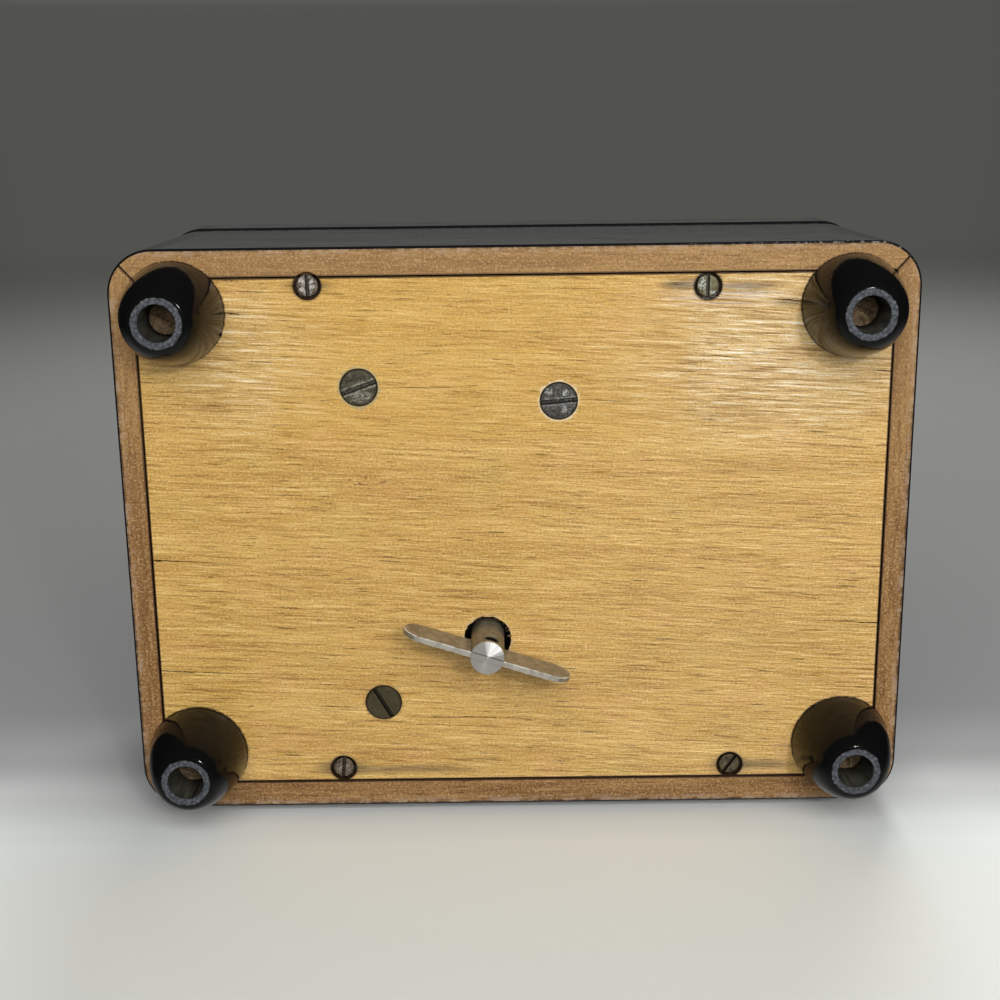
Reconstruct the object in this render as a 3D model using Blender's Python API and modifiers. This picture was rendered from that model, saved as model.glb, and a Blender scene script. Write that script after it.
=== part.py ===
"""Wooden music box: lacquered case on turned feet, hinged lid, and a cylinder movement wound from below.

Frame: metres, +Z up, standing on the feet. +X along the long side, -Y at the front.
The origin is on the ground in the middle of the overall box; the case centre lies a little
towards -Y, because the hinge knuckles stand proud of the back.
"""
import math

import bmesh
import bpy
from mathutils import Matrix, Vector

MODEL = "music_box"

# Case
box_length = 0.1500
box_depth = 0.1110
wall_height = 0.0498
long_wall_thickness = 0.0052
side_wall_thickness = 0.0046
corner_radius = 0.0085
joint_gap = 0.0003
panel_thickness = 0.0050
lid_side_height = 0.0079
lid_top_thickness = 0.0045
lid_edge_radius = 0.0014
corner_steps = 5

# Glue strips inside the front and back walls
cleat_end_width = 0.0114
cleat_end_length = 0.0180
cleat_middle_width = 0.0060
cleat_height = 0.0080

# Turned feet and their screws; the shifts are each foot's own distance from its even place
foot_height = 0.0144
foot_radius = 0.0095
foot_tip_radius = 0.0046
foot_bore_radius = 0.0034
foot_bore_depth = 0.0098
foot_inset = 0.0117
foot_dome_power = 1.3
foot_edge_height = 0.0006
foot_dome_steps = 7
foot_screw_head_radius = 0.0031
foot_screw_head_height = 0.0018
foot_screw_shank_radius = 0.0015
foot_screw_grip = 0.0060
foot_shifts = {
    "front_left": (0.0003, 0),
    "front_right": (-0.0009, 0),
    "back_left": (-0.0002, -0.0002),
    "back_right": (0.0004, -0.0009),
}
foot_screw_slot_angles = {"front_left": 25, "front_right": 20, "back_left": 35, "back_right": 80}

# Wood screws that hold the panel: along the box, inset from the panel's long edge, slot angle
panel_screw_places = {
    "panel_screw_1": (-0.0381, -1, 0.0015, 88),
    "panel_screw_2": (0.0356, -1, 0.0024, 90),
    "panel_screw_3": (-0.0350, 1, 0.0026, -84),
    "panel_screw_4": (0.0420, 1, 0.0024, -55),
}
panel_screw_head_radius = 0.0022
panel_screw_head_height = 0.0013
panel_screw_shank_radius = 0.0009
panel_screw_length = 0.0095
panel_screw_recess = 0.0003

# Movement place: the winding axis seen from the middle of the case
key_x = -0.0059
key_y = 0.0205
bedplate_left = 0.0288
bedplate_right = 0.0202
bedplate_front = 0.0552
bedplate_back = 0.0168
bedplate_thickness = 0.0030
bedplate_corner_radius = 0.0030
upright_width = 0.0060
lever_lug_width = 0.0036
lever_lug_rise = 0.0014

# Machine screws through the panel into the bedplate: place seen from the winding axis, slot angle
movement_screw_places = {
    "movement_screw_1": (-0.0234, -0.0500, -20),
    "movement_screw_2": (0.0140, -0.0470, -5),
    "movement_screw_3": (-0.0207, 0.0130, 60),
}
movement_screw_head_radius = 0.0035
movement_screw_head_height = 0.0015
movement_screw_shank_radius = 0.0014
movement_screw_proud = 0.0003

# Winding key
key_hole_radius = 0.0046
key_stem_radius = 0.00325
key_protrusion = 0.0108
key_stem_chamfer = 0.0003
key_wing_span = 0.0331
key_wing_width = 0.0070
key_wing_thickness = 0.0011
key_wing_slot = 0.0013
key_wing_angle = 17.9
key_cross_hole_radius = 0.0014
key_cross_hole_depth = 0.0024
arbor_radius = 0.0015
arbor_engagement = 0.0075

# Ratchet and click
ratchet_teeth = 24
ratchet_radius = 0.0062
ratchet_root_radius = 0.0053
ratchet_thickness = 0.0012
ratchet_phase = 2.5
click_pivot = (0.0082, -0.0070)
click_pin_radius = 0.0008
click_eye_radius = 0.0016
click_bite = 0.0002
click_tip_width = 0.0004
click_tip_slope = 0.0009
click_back = 0.0011
click_shoulder = 0.0010
click_spring_thickness = 0.0004
click_spring_gap = 0.0006
click_spring_drop = 0.0010
click_spring_root = (0.0044, -0.0030)
click_spring_block = 0.0024

# Spring barrel and mainspring
barrel_radius = 0.0140
barrel_wall = 0.0010
barrel_height = 0.0105
barrel_floor = 0.0010
barrel_cover_thickness = 0.0008
barrel_hub_radius = 0.0032
crown_teeth = 48
crown_tooth_height = 0.0010
crown_tooth_thickness = 0.0006
mainspring_turns = 4
mainspring_strip = 0.00045
bridge_width = 0.0080
bridge_thickness = 0.0015
bridge_leg = 0.0020
bridge_arm_width = 0.0060
bridge_tab_reach = 0.0040
bridge_tab_rise = 0.0025
cylinder_arbor_reach = 0.0038

# Pinned cylinder with its arbor and wheel
pinion_teeth = 12
mesh_addendum = 0.00035
cylinder_radius = 0.0060
cylinder_length = 0.0260
cylinder_arbor_radius = 0.0010
pin_height = 0.00035
pin_width = 0.00035
pin_rows = 20
pins_in_a_row = 2
gear_module = 0.00033
cylinder_wheel_teeth = 40
wheel_thickness = 0.0012
bearing_thickness = 0.0012

# Governor
second_pinion_teeth = 10
second_axis_angle = -35
second_arbor_radius = 0.0006
worm_wheel_teeth = 20
worm_wheel_thickness = 0.0008
worm_pitch = 0.0012
worm_pitch_radius = 0.0012
worm_turns = 3
fly_shaft_radius = 0.0006
fly_radius = 0.0042
fly_height = 0.0040
fly_thickness = 0.0004
fly_collar_radius = 0.0020
fly_collar_height = 0.0008
governor_plate = 0.0012
governor_left_overhang = 0.0025
governor_right_overhang = 0.0034
cock_width = 0.0032
running_gap = 0.00015

# Comb
comb_thickness = 0.0009
comb_tip_gap = 0.0002
comb_tooth_share = 0.70
comb_shortest_tooth = 0.0085
comb_longest_tooth = 0.0135
comb_back = 0.0275
comb_seat_width = 0.0072
comb_screw_radius = 0.0010
comb_screw_head_radius = 0.0019
comb_screw_head_height = 0.0012
comb_screw_grip = 0.0045
comb_screw_hole_depth = 0.0050

# Stop work: a rod pressed by the lid, and a lever that brakes the fly
stop_lever_x = 0.0169
stop_lever_thickness = 0.0010
stop_lever_height = 0.0019
stop_lever_pivot_y = -0.0247
stop_rod_y = -0.0127
stop_rod_radius = 0.0008
stop_pin_radius = 0.0006
stop_finger_width = 0.0010
stop_finger_thickness = 0.0008
stop_finger_clearance = 0.0008

# Lined tray above the movement, and the lid's lining
tray_clearance = 0.0007
tray_thickness = 0.0022
tray_ledge_width = 0.0040
tray_ledge_height = 0.0027
tray_divider_thickness = 0.0040
tray_divider_drop = 0.0008
lid_lining_thickness = 0.0010
lining_gap = 0.0020

# Butt hinges
hinge_length = 0.0180
hinge_inset = 0.0300
hinge_leaf_width = 0.0044
hinge_leaf_thickness = 0.0008
hinge_knuckle_radius = 0.0013
hinge_pin_radius = 0.0006
hinge_knuckle_share = 0.34

# Round shapes
coarse = 12
medium = 24

# Colours
BLACK_LACQUER = ((0.012, 0.012, 0.014), 0.0, 0.12)
PLYWOOD = ((0.62, 0.42, 0.18), 0.0, 0.38)
PALE_WOOD = ((0.45, 0.29, 0.14), 0.0, 0.60)
DARK_STEEL = ((0.09, 0.09, 0.085), 0.8, 0.45)
TARNISHED_STEEL = ((0.28, 0.24, 0.18), 0.8, 0.45)
RUSTY_STEEL = ((0.30, 0.18, 0.10), 0.6, 0.65)
NICKEL = ((0.58, 0.55, 0.49), 1.0, 0.25)
BRASS = ((0.72, 0.52, 0.22), 1.0, 0.28)
STEEL = ((0.55, 0.56, 0.58), 1.0, 0.25)
BLUE_STEEL = ((0.10, 0.12, 0.18), 1.0, 0.30)
CAST_ZINC = ((0.42, 0.40, 0.36), 0.9, 0.45)
VELVET = ((0.22, 0.02, 0.03), 0.0, 0.90)

# Places that follow from the sizes above
half_length = box_length / 2
half_depth = box_depth / 2
inner_half_length = half_length - side_wall_thickness
inner_half_depth = half_depth - long_wall_thickness
underside_z = foot_height
panel_top_z = underside_z + panel_thickness
wall_top_z = underside_z + wall_height
lid_low_z = wall_top_z + joint_gap
lid_side_top_z = lid_low_z + lid_side_height
lid_top_low_z = lid_side_top_z + joint_gap
lid_top_z = lid_top_low_z + lid_top_thickness
panel_half_length = inner_half_length - joint_gap
panel_half_depth = inner_half_depth - joint_gap
hinge_axis_y = half_depth
hinge_axis_z = wall_top_z + joint_gap / 2
cleat_low_z = panel_top_z + joint_gap

bed_low_z = panel_top_z + joint_gap
bed_top_z = bed_low_z + bedplate_thickness
ratchet_low_z = bed_top_z + joint_gap
barrel_low_z = ratchet_low_z + ratchet_thickness + joint_gap
barrel_top_z = barrel_low_z + barrel_height
crown_top_z = barrel_top_z + crown_tooth_height
crown_mesh_radius = barrel_radius - barrel_wall / 2
pinion_pitch_radius = crown_mesh_radius * pinion_teeth / crown_teeth
cylinder_z = crown_top_z - mesh_addendum + pinion_pitch_radius
pinion_y = key_y - crown_mesh_radius
cylinder_back_y = key_y - barrel_radius - 4 * joint_gap
cylinder_front_y = cylinder_back_y - cylinder_length
bridge_low_z = crown_top_z + 2 * joint_gap
bridge_top_z = bridge_low_z + bridge_thickness

wheel_pitch_radius = gear_module * cylinder_wheel_teeth / 2
second_pitch_radius = gear_module * second_pinion_teeth / 2
axis_distance = wheel_pitch_radius + second_pitch_radius
second_angle = math.radians(second_axis_angle)
second_x = key_x + axis_distance * math.cos(second_angle)
second_z = cylinder_z + axis_distance * math.sin(second_angle)
worm_wheel_radius = worm_wheel_teeth * worm_pitch / (2 * math.pi)
fly_x = second_x + worm_wheel_radius + worm_pitch_radius
rear_plate_back_y = cylinder_front_y - 3 * joint_gap
rear_plate_front_y = rear_plate_back_y - governor_plate
fly_y = rear_plate_front_y - 3 * joint_gap - worm_wheel_thickness / 2 - joint_gap
wheel_y = fly_y - worm_wheel_thickness - 3 * joint_gap - wheel_thickness
front_plate_back_y = wheel_y - wheel_thickness - 3 * joint_gap
front_plate_front_y = front_plate_back_y - governor_plate
governor_top_z = second_z + worm_pitch * worm_turns / 2 + 6 * joint_gap
stop_finger_top_z = governor_top_z + 2 * joint_gap
fly_collar_low_z = stop_finger_top_z + joint_gap
fly_low_z = fly_collar_low_z + fly_collar_height
cock_low_z = fly_low_z + fly_height + 2 * joint_gap
movement_top_z = max(cock_low_z + governor_plate, cylinder_z + wheel_pitch_radius + gear_module)
tray_low_z = movement_top_z + tray_clearance
tray_top_z = tray_low_z + tray_thickness
lining_low_z = lid_top_low_z - joint_gap - lid_lining_thickness
lever_x = key_x + stop_lever_x
lever_z = stop_finger_top_z - stop_lever_height / 2
rod_y = key_y + stop_rod_y


def clear_scene():
    for item in list(bpy.data.objects):
        bpy.data.objects.remove(item, do_unlink=True)


def new_collection(name):
    collection = bpy.data.collections.new(name)
    bpy.context.scene.collection.children.link(collection)
    return collection


clear_scene()
parts = new_collection(MODEL)
cutters = new_collection("cutters")
case_frame = bpy.data.objects.new("case_frame", None)
case_frame.location = (0, -hinge_knuckle_radius / 2, 0)
parts.objects.link(case_frame)


def add_object(name, mesh, look=None):
    """A part when it has a look, otherwise a hidden cutter."""
    item = bpy.data.objects.new(name, mesh)
    item.parent = case_frame
    if look is None:
        cutters.objects.link(item)
        item.hide_render = True
        item.display_type = "WIRE"
        return item
    parts.objects.link(item)
    colour, metallic, roughness = look
    material = bpy.data.materials.new(name + "_finish")
    material.use_nodes = True
    shader = material.node_tree.nodes["Principled BSDF"]
    shader.inputs["Base Color"].default_value = (*colour, 1)
    shader.inputs["Metallic"].default_value = metallic
    shader.inputs["Roughness"].default_value = roughness
    material.diffuse_color = (*colour, 1)
    mesh.materials.append(material)
    return item


def finish_mesh(name, bm):
    bmesh.ops.recalc_face_normals(bm, faces=bm.faces)
    mesh = bpy.data.meshes.new(name)
    bm.to_mesh(mesh)
    bm.free()
    return mesh


def box_mesh(name, low, high):
    bm = bmesh.new()
    bmesh.ops.create_cube(bm, size=1)
    size = Vector(high) - Vector(low)
    middle = (Vector(high) + Vector(low)) / 2
    bmesh.ops.transform(bm, matrix=Matrix.Translation(middle) @ Matrix.Diagonal((*size, 1)), verts=bm.verts)
    return finish_mesh(name, bm)


def box(name, low, high, look=None):
    return add_object(name, box_mesh(name, low, high), look)


def rod_mesh(name, start, end, radius, segments):
    bm = bmesh.new()
    start = Vector(start)
    end = Vector(end)
    along = end - start
    bmesh.ops.create_cone(
        bm, cap_ends=True, segments=segments, radius1=radius, radius2=radius, depth=along.length
    )
    turn = along.to_track_quat("Z", "Y").to_matrix().to_4x4()
    bmesh.ops.transform(bm, matrix=Matrix.Translation((start + end) / 2) @ turn, verts=bm.verts)
    return finish_mesh(name, bm)


def rod(name, start, end, radius, segments=coarse, look=None):
    item = add_object(name, rod_mesh(name, start, end, radius, segments), look)
    item.data.shade_smooth()
    item.data.set_sharp_from_angle(angle=math.radians(40))
    return item


def turned(name, profile, place, steps=medium, closed=False, look=None):
    """A profile of (radius, height) turned about the vertical through place; it runs down its outer side."""
    mesh = bpy.data.meshes.new(name)
    verts = [(radius, 0, height) for radius, height in profile]
    edges = [(index, index + 1) for index in range(len(profile) - 1)]
    if closed:
        edges.append((len(profile) - 1, 0))
    mesh.from_pydata(verts, edges, [])
    item = add_object(name, mesh, look)
    item.location = (place[0], place[1], 0)
    screw = item.modifiers.new("turn", "SCREW")
    screw.axis = "Z"
    screw.angle = 2 * math.pi
    screw.steps = steps
    screw.render_steps = steps
    screw.use_merge_vertices = True
    screw.merge_threshold = 0.00001
    screw.use_smooth_shade = True
    return item


def circle(x, y, radius, segments=coarse):
    step = 2 * math.pi / segments
    return [(x + radius * math.cos(i * step), y + radius * math.sin(i * step)) for i in range(segments)]


def plate_mesh(name, outline, holes, low, high):
    """A flat outline with holes, extruded between two heights."""
    curve = bpy.data.curves.new(name, "CURVE")
    curve.dimensions = "2D"
    curve.fill_mode = "BOTH"
    curve.extrude = (high - low) / 2
    for ring in [outline] + holes:
        spline = curve.splines.new("POLY")
        spline.points.add(len(ring) - 1)
        for point, (x, y) in zip(spline.points, ring):
            point.co = (x, y, 0, 1)
        spline.use_cyclic_u = True
    guide = bpy.data.objects.new(name + "_curve", curve)
    cutters.objects.link(guide)
    bpy.context.view_layer.update()
    evaluated = guide.evaluated_get(bpy.context.evaluated_depsgraph_get())
    mesh = bpy.data.meshes.new_from_object(evaluated)
    bpy.data.objects.remove(guide, do_unlink=True)
    bm = bmesh.new()
    bm.from_mesh(mesh)
    bmesh.ops.remove_doubles(bm, verts=bm.verts, dist=0.000001)
    bmesh.ops.translate(bm, vec=(0, 0, (low + high) / 2), verts=bm.verts)
    bmesh.ops.recalc_face_normals(bm, faces=bm.faces)
    bm.to_mesh(mesh)
    bm.free()
    mesh.name = name
    return mesh


def plate(name, outline, holes, low, high, look=None):
    return add_object(name, plate_mesh(name, outline, holes, low, high), look)


def along_y(mesh, x, y, z):
    """Turns a plate made flat on XY so that its thickness runs along Y; its own X stays, its Y becomes Z."""
    mesh.transform(Matrix.Translation((x, y, z)) @ Matrix.Rotation(math.pi / 2, 4, "X"))
    return mesh


def combine(item, other, operation="DIFFERENCE"):
    modifier = item.modifiers.new(other.name, "BOOLEAN")
    modifier.operation = operation
    modifier.solver = "EXACT"
    modifier.object = other
    return item


def cut(item, other):
    return combine(item, other, "DIFFERENCE")


def weld(item, other):
    return combine(item, other, "UNION")


def rounded_rectangle(x_low, x_high, y_low, y_high, radius, steps=corner_steps):
    points = []
    corners = (
        (x_high - radius, y_high - radius, 0),
        (x_low + radius, y_high - radius, 90),
        (x_low + radius, y_low + radius, 180),
        (x_high - radius, y_low + radius, 270),
    )
    for x, y, start in corners:
        for step in range(steps + 1):
            angle = math.radians(start + 90 * step / steps)
            points.append((x + radius * math.cos(angle), y + radius * math.sin(angle)))
    return points


def mitre_arc(half_run, half_across, run_wall, end_wall):
    """Points along the rounded corner of a front rail, from its straight face to the mitre, and the inner corner.

    half_run is half the rail's length, half_across half of the other side; run_wall is this rail's
    thickness and end_wall that of the rail that it meets.
    """
    outer = Vector((half_run, -half_across))
    inner = Vector((half_run - end_wall, -half_across + run_wall))
    direction = (inner - outer).normalized()
    towards_rail = Vector((-direction.y, direction.x))
    if towards_rail.x > 0:
        towards_rail = -towards_rail
    shift = towards_rail * joint_gap / 2
    centre = Vector((half_run - corner_radius, -half_across + corner_radius))
    start = outer + shift - centre
    along = start.dot(direction)
    reach = -along - math.sqrt(along * along - start.length_squared + corner_radius * corner_radius)
    end = start + direction * reach
    end_angle = math.atan2(end.y, end.x)
    start_angle = -math.pi / 2
    points = []
    for step in range(corner_steps + 1):
        angle = start_angle + (end_angle - start_angle) * step / corner_steps
        points.append((centre.x + corner_radius * math.cos(angle), centre.y + corner_radius * math.sin(angle)))
    inner_reach = (inner.y - (outer + shift).y) / direction.y
    inner_point = outer + shift + direction * inner_reach
    points.append((inner_point.x, inner_point.y))
    return points


def mitred_outline(half_run, half_across, run_wall, end_wall):
    right = mitre_arc(half_run, half_across, run_wall, end_wall)
    left = [(-x, y) for x, y in reversed(right)]
    return right + left


def turned_outline(outline, quarter_turns):
    for _ in range(quarter_turns):
        outline = [(-y, x) for x, y in outline]
    return outline


def four_sides(prefix, low, high):
    long_rail = mitred_outline(half_length, half_depth, long_wall_thickness, side_wall_thickness)
    short_rail = mitred_outline(half_depth, half_length, side_wall_thickness, long_wall_thickness)
    sides = {
        "front": (long_rail, 0),
        "right": (short_rail, 1),
        "back": (long_rail, 2),
        "left": (short_rail, 3),
    }
    made = {}
    for side, (outline, quarter_turns) in sides.items():
        made[side] = plate(
            f"{prefix}_{side}", turned_outline(outline, quarter_turns), [], low, high, BLACK_LACQUER
        )
    return made


def panel_screw_place(name):
    x, side, inset, angle = panel_screw_places[name]
    return x, side * (panel_half_depth - inset), angle


def movement_screw_place(name):
    x, y, angle = movement_screw_places[name]
    return key_x + x, key_y + y, angle


def foot_places():
    x = half_length - foot_inset
    y = half_depth - foot_inset
    even = {"front_left": (-x, -y), "front_right": (x, -y), "back_left": (-x, y), "back_right": (x, y)}
    return {corner: (x + foot_shifts[corner][0], y + foot_shifts[corner][1]) for corner, (x, y) in even.items()}


def slotted_screw(name, place, low, head_radius, head_height, shank_radius, top, slot_angle, look, upward=False):
    """A screw whose head faces down at low, or up when upward is set; its shank ends at top."""
    chamfer = head_radius * 0.08
    profile = [
        (0, top),
        (shank_radius, top),
        (shank_radius, low + head_height),
        (head_radius, low + head_height),
        (head_radius, low + chamfer),
        (head_radius - chamfer, low),
        (0, low),
    ]
    if upward:
        profile = [(radius, low + top - height) for radius, height in reversed(profile)]
    item = turned(name, profile, place, coarse, look=look)
    slot_width = head_radius * 0.24
    slot_depth = head_height * 0.55
    face = top if upward else low
    slot = box(
        name + "_slot", (-head_radius * 1.2, -slot_width / 2, -slot_depth),
        (head_radius * 1.2, slot_width / 2, slot_depth)
    )
    slot.location = (place[0], place[1], face)
    slot.rotation_euler = (0, 0, math.radians(slot_angle))
    cut(item, slot)
    return item


def build_case():
    sides = four_sides("side", underside_z, wall_top_z)
    holes = [circle(key_x, key_y, key_hole_radius, medium)]
    for name in movement_screw_places:
        x, y, _ = movement_screw_place(name)
        holes.append(circle(x, y, movement_screw_shank_radius + joint_gap))
    for x, y in foot_places().values():
        holes.append(circle(x, y, foot_screw_shank_radius + joint_gap))
    outline = [
        (-panel_half_length, -panel_half_depth),
        (panel_half_length, -panel_half_depth),
        (panel_half_length, panel_half_depth),
        (-panel_half_length, panel_half_depth),
    ]
    panel = plate("bottom_panel", outline, holes, underside_z, panel_top_z, PLYWOOD)
    for name in movement_screw_places:
        x, y, _ = movement_screw_place(name)
        seat_z = underside_z + movement_screw_head_height - movement_screw_proud + joint_gap
        radius = movement_screw_head_radius + joint_gap
        cut(panel, rod(name + "_seat", (x, y, underside_z - joint_gap), (x, y, seat_z), radius, medium))
    for name in panel_screw_places:
        x, y, _ = panel_screw_place(name)
        seat_z = underside_z + panel_screw_recess + panel_screw_head_height + joint_gap
        low = (x, y, underside_z - joint_gap)
        seat = rod(name + "_seat", low, (x, y, seat_z), panel_screw_head_radius + joint_gap)
        cut(panel, seat)
        if y < 0:
            cut(sides["front"], seat)
        shank = rod(
            name + "_hole", low, (x, y, panel_top_z + joint_gap), panel_screw_shank_radius + joint_gap
        )
        cut(panel, shank)
    build_cleats()
    return sides


def build_cleats():
    for name, side in (("cleat_front", -1), ("cleat_back", 1)):
        near = side * panel_half_depth
        end = side * (panel_half_depth - cleat_end_width)
        middle = side * (panel_half_depth - cleat_middle_width)
        shoulder = panel_half_length - cleat_end_length
        outline = [
            (-panel_half_length, near),
            (-panel_half_length, end),
            (-shoulder, end),
            (-shoulder, middle),
            (shoulder, middle),
            (shoulder, end),
            (panel_half_length, end),
            (panel_half_length, near),
        ]
        holes = []
        for x, y in foot_places().values():
            if y * side > 0:
                holes.append(circle(x, y, foot_screw_shank_radius + joint_gap))
        for screw in panel_screw_places:
            x, y, _ = panel_screw_place(screw)
            if y * side > 0:
                holes.append(circle(x, y, panel_screw_shank_radius + joint_gap))
        plate(name, outline, holes, cleat_low_z, cleat_low_z + cleat_height, PALE_WOOD)


def foot_profile():
    """From the base, down the dome, over the tip ring, up the bore and back through the screw hole."""
    top = underside_z - joint_gap
    dome_top = top - foot_edge_height
    hole = foot_screw_shank_radius + joint_gap
    profile = [(hole, top), (foot_radius, top)]
    for step in range(foot_dome_steps + 1):
        drop = step / foot_dome_steps
        drop = 1 - (1 - drop) ** 1.5
        swell = math.sqrt(max(0.0, 1 - drop ** foot_dome_power))
        radius = foot_tip_radius + (foot_radius - foot_tip_radius) * swell
        profile.append((radius, dome_top * (1 - drop)))
    profile += [(foot_bore_radius, 0), (foot_bore_radius, foot_bore_depth), (hole, foot_bore_depth)]
    return profile


def build_feet():
    top = cleat_low_z + foot_screw_grip
    head_low = foot_bore_depth - joint_gap - foot_screw_head_height
    for corner, place in foot_places().items():
        turned(f"foot_{corner}", foot_profile(), place, medium, closed=True, look=BLACK_LACQUER)
        slotted_screw(
            f"foot_screw_{corner}", place, head_low, foot_screw_head_radius, foot_screw_head_height,
            foot_screw_shank_radius, top, foot_screw_slot_angles[corner], RUSTY_STEEL
        )


def build_case_screws():
    for name in panel_screw_places:
        x, y, angle = panel_screw_place(name)
        low = underside_z + panel_screw_recess
        slotted_screw(
            name, (x, y), low, panel_screw_head_radius, panel_screw_head_height,
            panel_screw_shank_radius, low + panel_screw_length, angle, TARNISHED_STEEL
        )
    for name in movement_screw_places:
        x, y, angle = movement_screw_place(name)
        slotted_screw(
            name, (x, y), underside_z - movement_screw_proud, movement_screw_head_radius,
            movement_screw_head_height, movement_screw_shank_radius, bed_top_z - joint_gap, angle, DARK_STEEL
        )


def build_lid():
    sides = four_sides("lid", lid_low_z, lid_side_top_z)
    outline = rounded_rectangle(-half_length, half_length, -half_depth, half_depth, corner_radius, corner_steps)
    top = plate("lid_top", outline, [], lid_top_low_z, lid_top_z, BLACK_LACQUER)
    bevel = top.modifiers.new("rounded_edge", "BEVEL")
    bevel.limit_method = "ANGLE"
    bevel.angle_limit = math.radians(60)
    bevel.width = lid_edge_radius
    bevel.segments = 2
    low = (-inner_half_length + lining_gap, -inner_half_depth + lining_gap, lining_low_z)
    high = (inner_half_length - lining_gap, inner_half_depth - lining_gap, lining_low_z + lid_lining_thickness)
    box("lid_lining", low, high, VELVET)
    return sides


def knuckle_spans(x):
    """Ends along X of the lid's middle knuckle and of the case's two outer ones."""
    half = hinge_length / 2
    middle = hinge_length * hinge_knuckle_share / 2
    outer = middle + joint_gap
    return (x - middle, x + middle), ((x - half, x - outer), (x + outer, x + half))


def hinge_rod(name, span, radius, segments=coarse, look=None):
    start = (span[0], hinge_axis_y, hinge_axis_z)
    end = (span[1], hinge_axis_y, hinge_axis_z)
    return rod(name, start, end, radius, segments, look)


def build_hinge(name, x, case_back, lid_back):
    middle, outer = knuckle_spans(x)
    half = hinge_length / 2
    leaf_y = hinge_axis_y - hinge_leaf_width
    case_leaf = box(
        name + "_case_leaf", (x - half, leaf_y, wall_top_z - hinge_leaf_thickness),
        (x + half, hinge_axis_y, wall_top_z), BRASS
    )
    cut(case_leaf, hinge_rod(name + "_case_relief", (middle[0] - joint_gap, middle[1] + joint_gap),
                             hinge_knuckle_radius + joint_gap))
    for index, span in enumerate(outer):
        weld(case_leaf, hinge_rod(f"{name}_case_knuckle_{index}", span, hinge_knuckle_radius))
    lid_leaf = box(
        name + "_lid_leaf", (x - half, leaf_y, lid_low_z),
        (x + half, hinge_axis_y, lid_low_z + hinge_leaf_thickness), BRASS
    )
    for index, span in enumerate(outer):
        ends = (span[0] - joint_gap, span[1] + joint_gap)
        cut(lid_leaf, hinge_rod(f"{name}_lid_relief_{index}", ends, hinge_knuckle_radius + joint_gap))
    weld(lid_leaf, hinge_rod(name + "_lid_knuckle", middle, hinge_knuckle_radius))
    bore = hinge_rod(name + "_bore", (x - hinge_length, x + hinge_length), hinge_pin_radius + running_gap)
    cut(case_leaf, bore)
    cut(lid_leaf, bore)
    hinge_rod(name + "_pin", (x - half, x + half), hinge_pin_radius, look=STEEL)
    reach = half + joint_gap
    seat_low = (x - reach, leaf_y - joint_gap, wall_top_z - hinge_leaf_thickness - joint_gap)
    seat_high = (x + reach, half_depth + joint_gap, lid_low_z + hinge_leaf_thickness + joint_gap)
    seat = box(name + "_seat", seat_low, seat_high)
    notch = hinge_rod(name + "_notch", (x - reach, x + reach), hinge_knuckle_radius + joint_gap)
    for wall in (case_back, lid_back):
        cut(wall, seat)
        cut(wall, notch)


def build_tray():
    ledge_low = tray_low_z - joint_gap - tray_ledge_height
    inner = panel_half_length - tray_ledge_width
    for name, side in (("tray_ledge_left", -1), ("tray_ledge_right", 1)):
        near = side * panel_half_length
        far = side * inner
        low = (min(near, far), -panel_half_depth, ledge_low)
        high = (max(near, far), panel_half_depth, ledge_low + tray_ledge_height)
        box(name, low, high, PALE_WOOD)
    outline = [
        (-panel_half_length, -panel_half_depth),
        (panel_half_length, -panel_half_depth),
        (panel_half_length, panel_half_depth),
        (-panel_half_length, panel_half_depth),
    ]
    hole = circle(lever_x, rod_y, stop_rod_radius + joint_gap)
    plate("tray_floor", outline, [hole], tray_low_z, tray_top_z, VELVET)
    half = tray_divider_thickness / 2
    divider = [
        (lever_x - half, -panel_half_depth),
        (lever_x + half, -panel_half_depth),
        (lever_x + half, panel_half_depth),
        (lever_x - half, panel_half_depth),
    ]
    plate("tray_divider", divider, [hole], tray_top_z + joint_gap, wall_top_z - tray_divider_drop, VELVET)


def build_key():
    low = underside_z - key_protrusion
    place = (key_x, key_y)
    bore = arbor_radius + joint_gap
    bore_low = panel_top_z - arbor_engagement - joint_gap
    profile = [
        (0, bore_low),
        (bore, bore_low),
        (bore, panel_top_z),
        (key_stem_radius, panel_top_z),
        (key_stem_radius, low + key_stem_chamfer),
        (key_stem_radius - key_stem_chamfer, low),
        (0, low),
    ]
    stem = turned("key_stem", profile, place, medium, look=NICKEL)
    turn = math.radians(key_wing_angle)
    reach = key_stem_radius + joint_gap
    slot = box("key_slot", (-reach, -key_wing_slot / 2, -joint_gap), (reach, key_wing_slot / 2, key_wing_width + joint_gap / 2))
    slot.location = (key_x, key_y, low)
    slot.rotation_euler = (0, 0, turn)
    cut(stem, slot)
    cross = rod("key_cross_hole", (0, 0, 0), (0, -reach, 0), key_cross_hole_radius)
    cross.location = (key_x, key_y, low + key_cross_hole_depth)
    cross.rotation_euler = (0, 0, turn)
    cut(stem, cross)
    end_radius = key_wing_width / 2
    straight = key_wing_span / 2 - end_radius
    outline = []
    for side, start in ((1, -90), (-1, 90)):
        for step in range(9):
            angle = math.radians(start + 180 * step / 8)
            outline.append((side * straight + end_radius * math.cos(angle), end_radius * math.sin(angle)))
    mesh = plate_mesh("key_wing", outline, [], -key_wing_thickness / 2, key_wing_thickness / 2)
    along_y(mesh, 0, 0, end_radius)
    wing = add_object("key_wing", mesh, NICKEL)
    wing.location = (key_x, key_y, low)
    wing.rotation_euler = (0, 0, turn)


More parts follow.
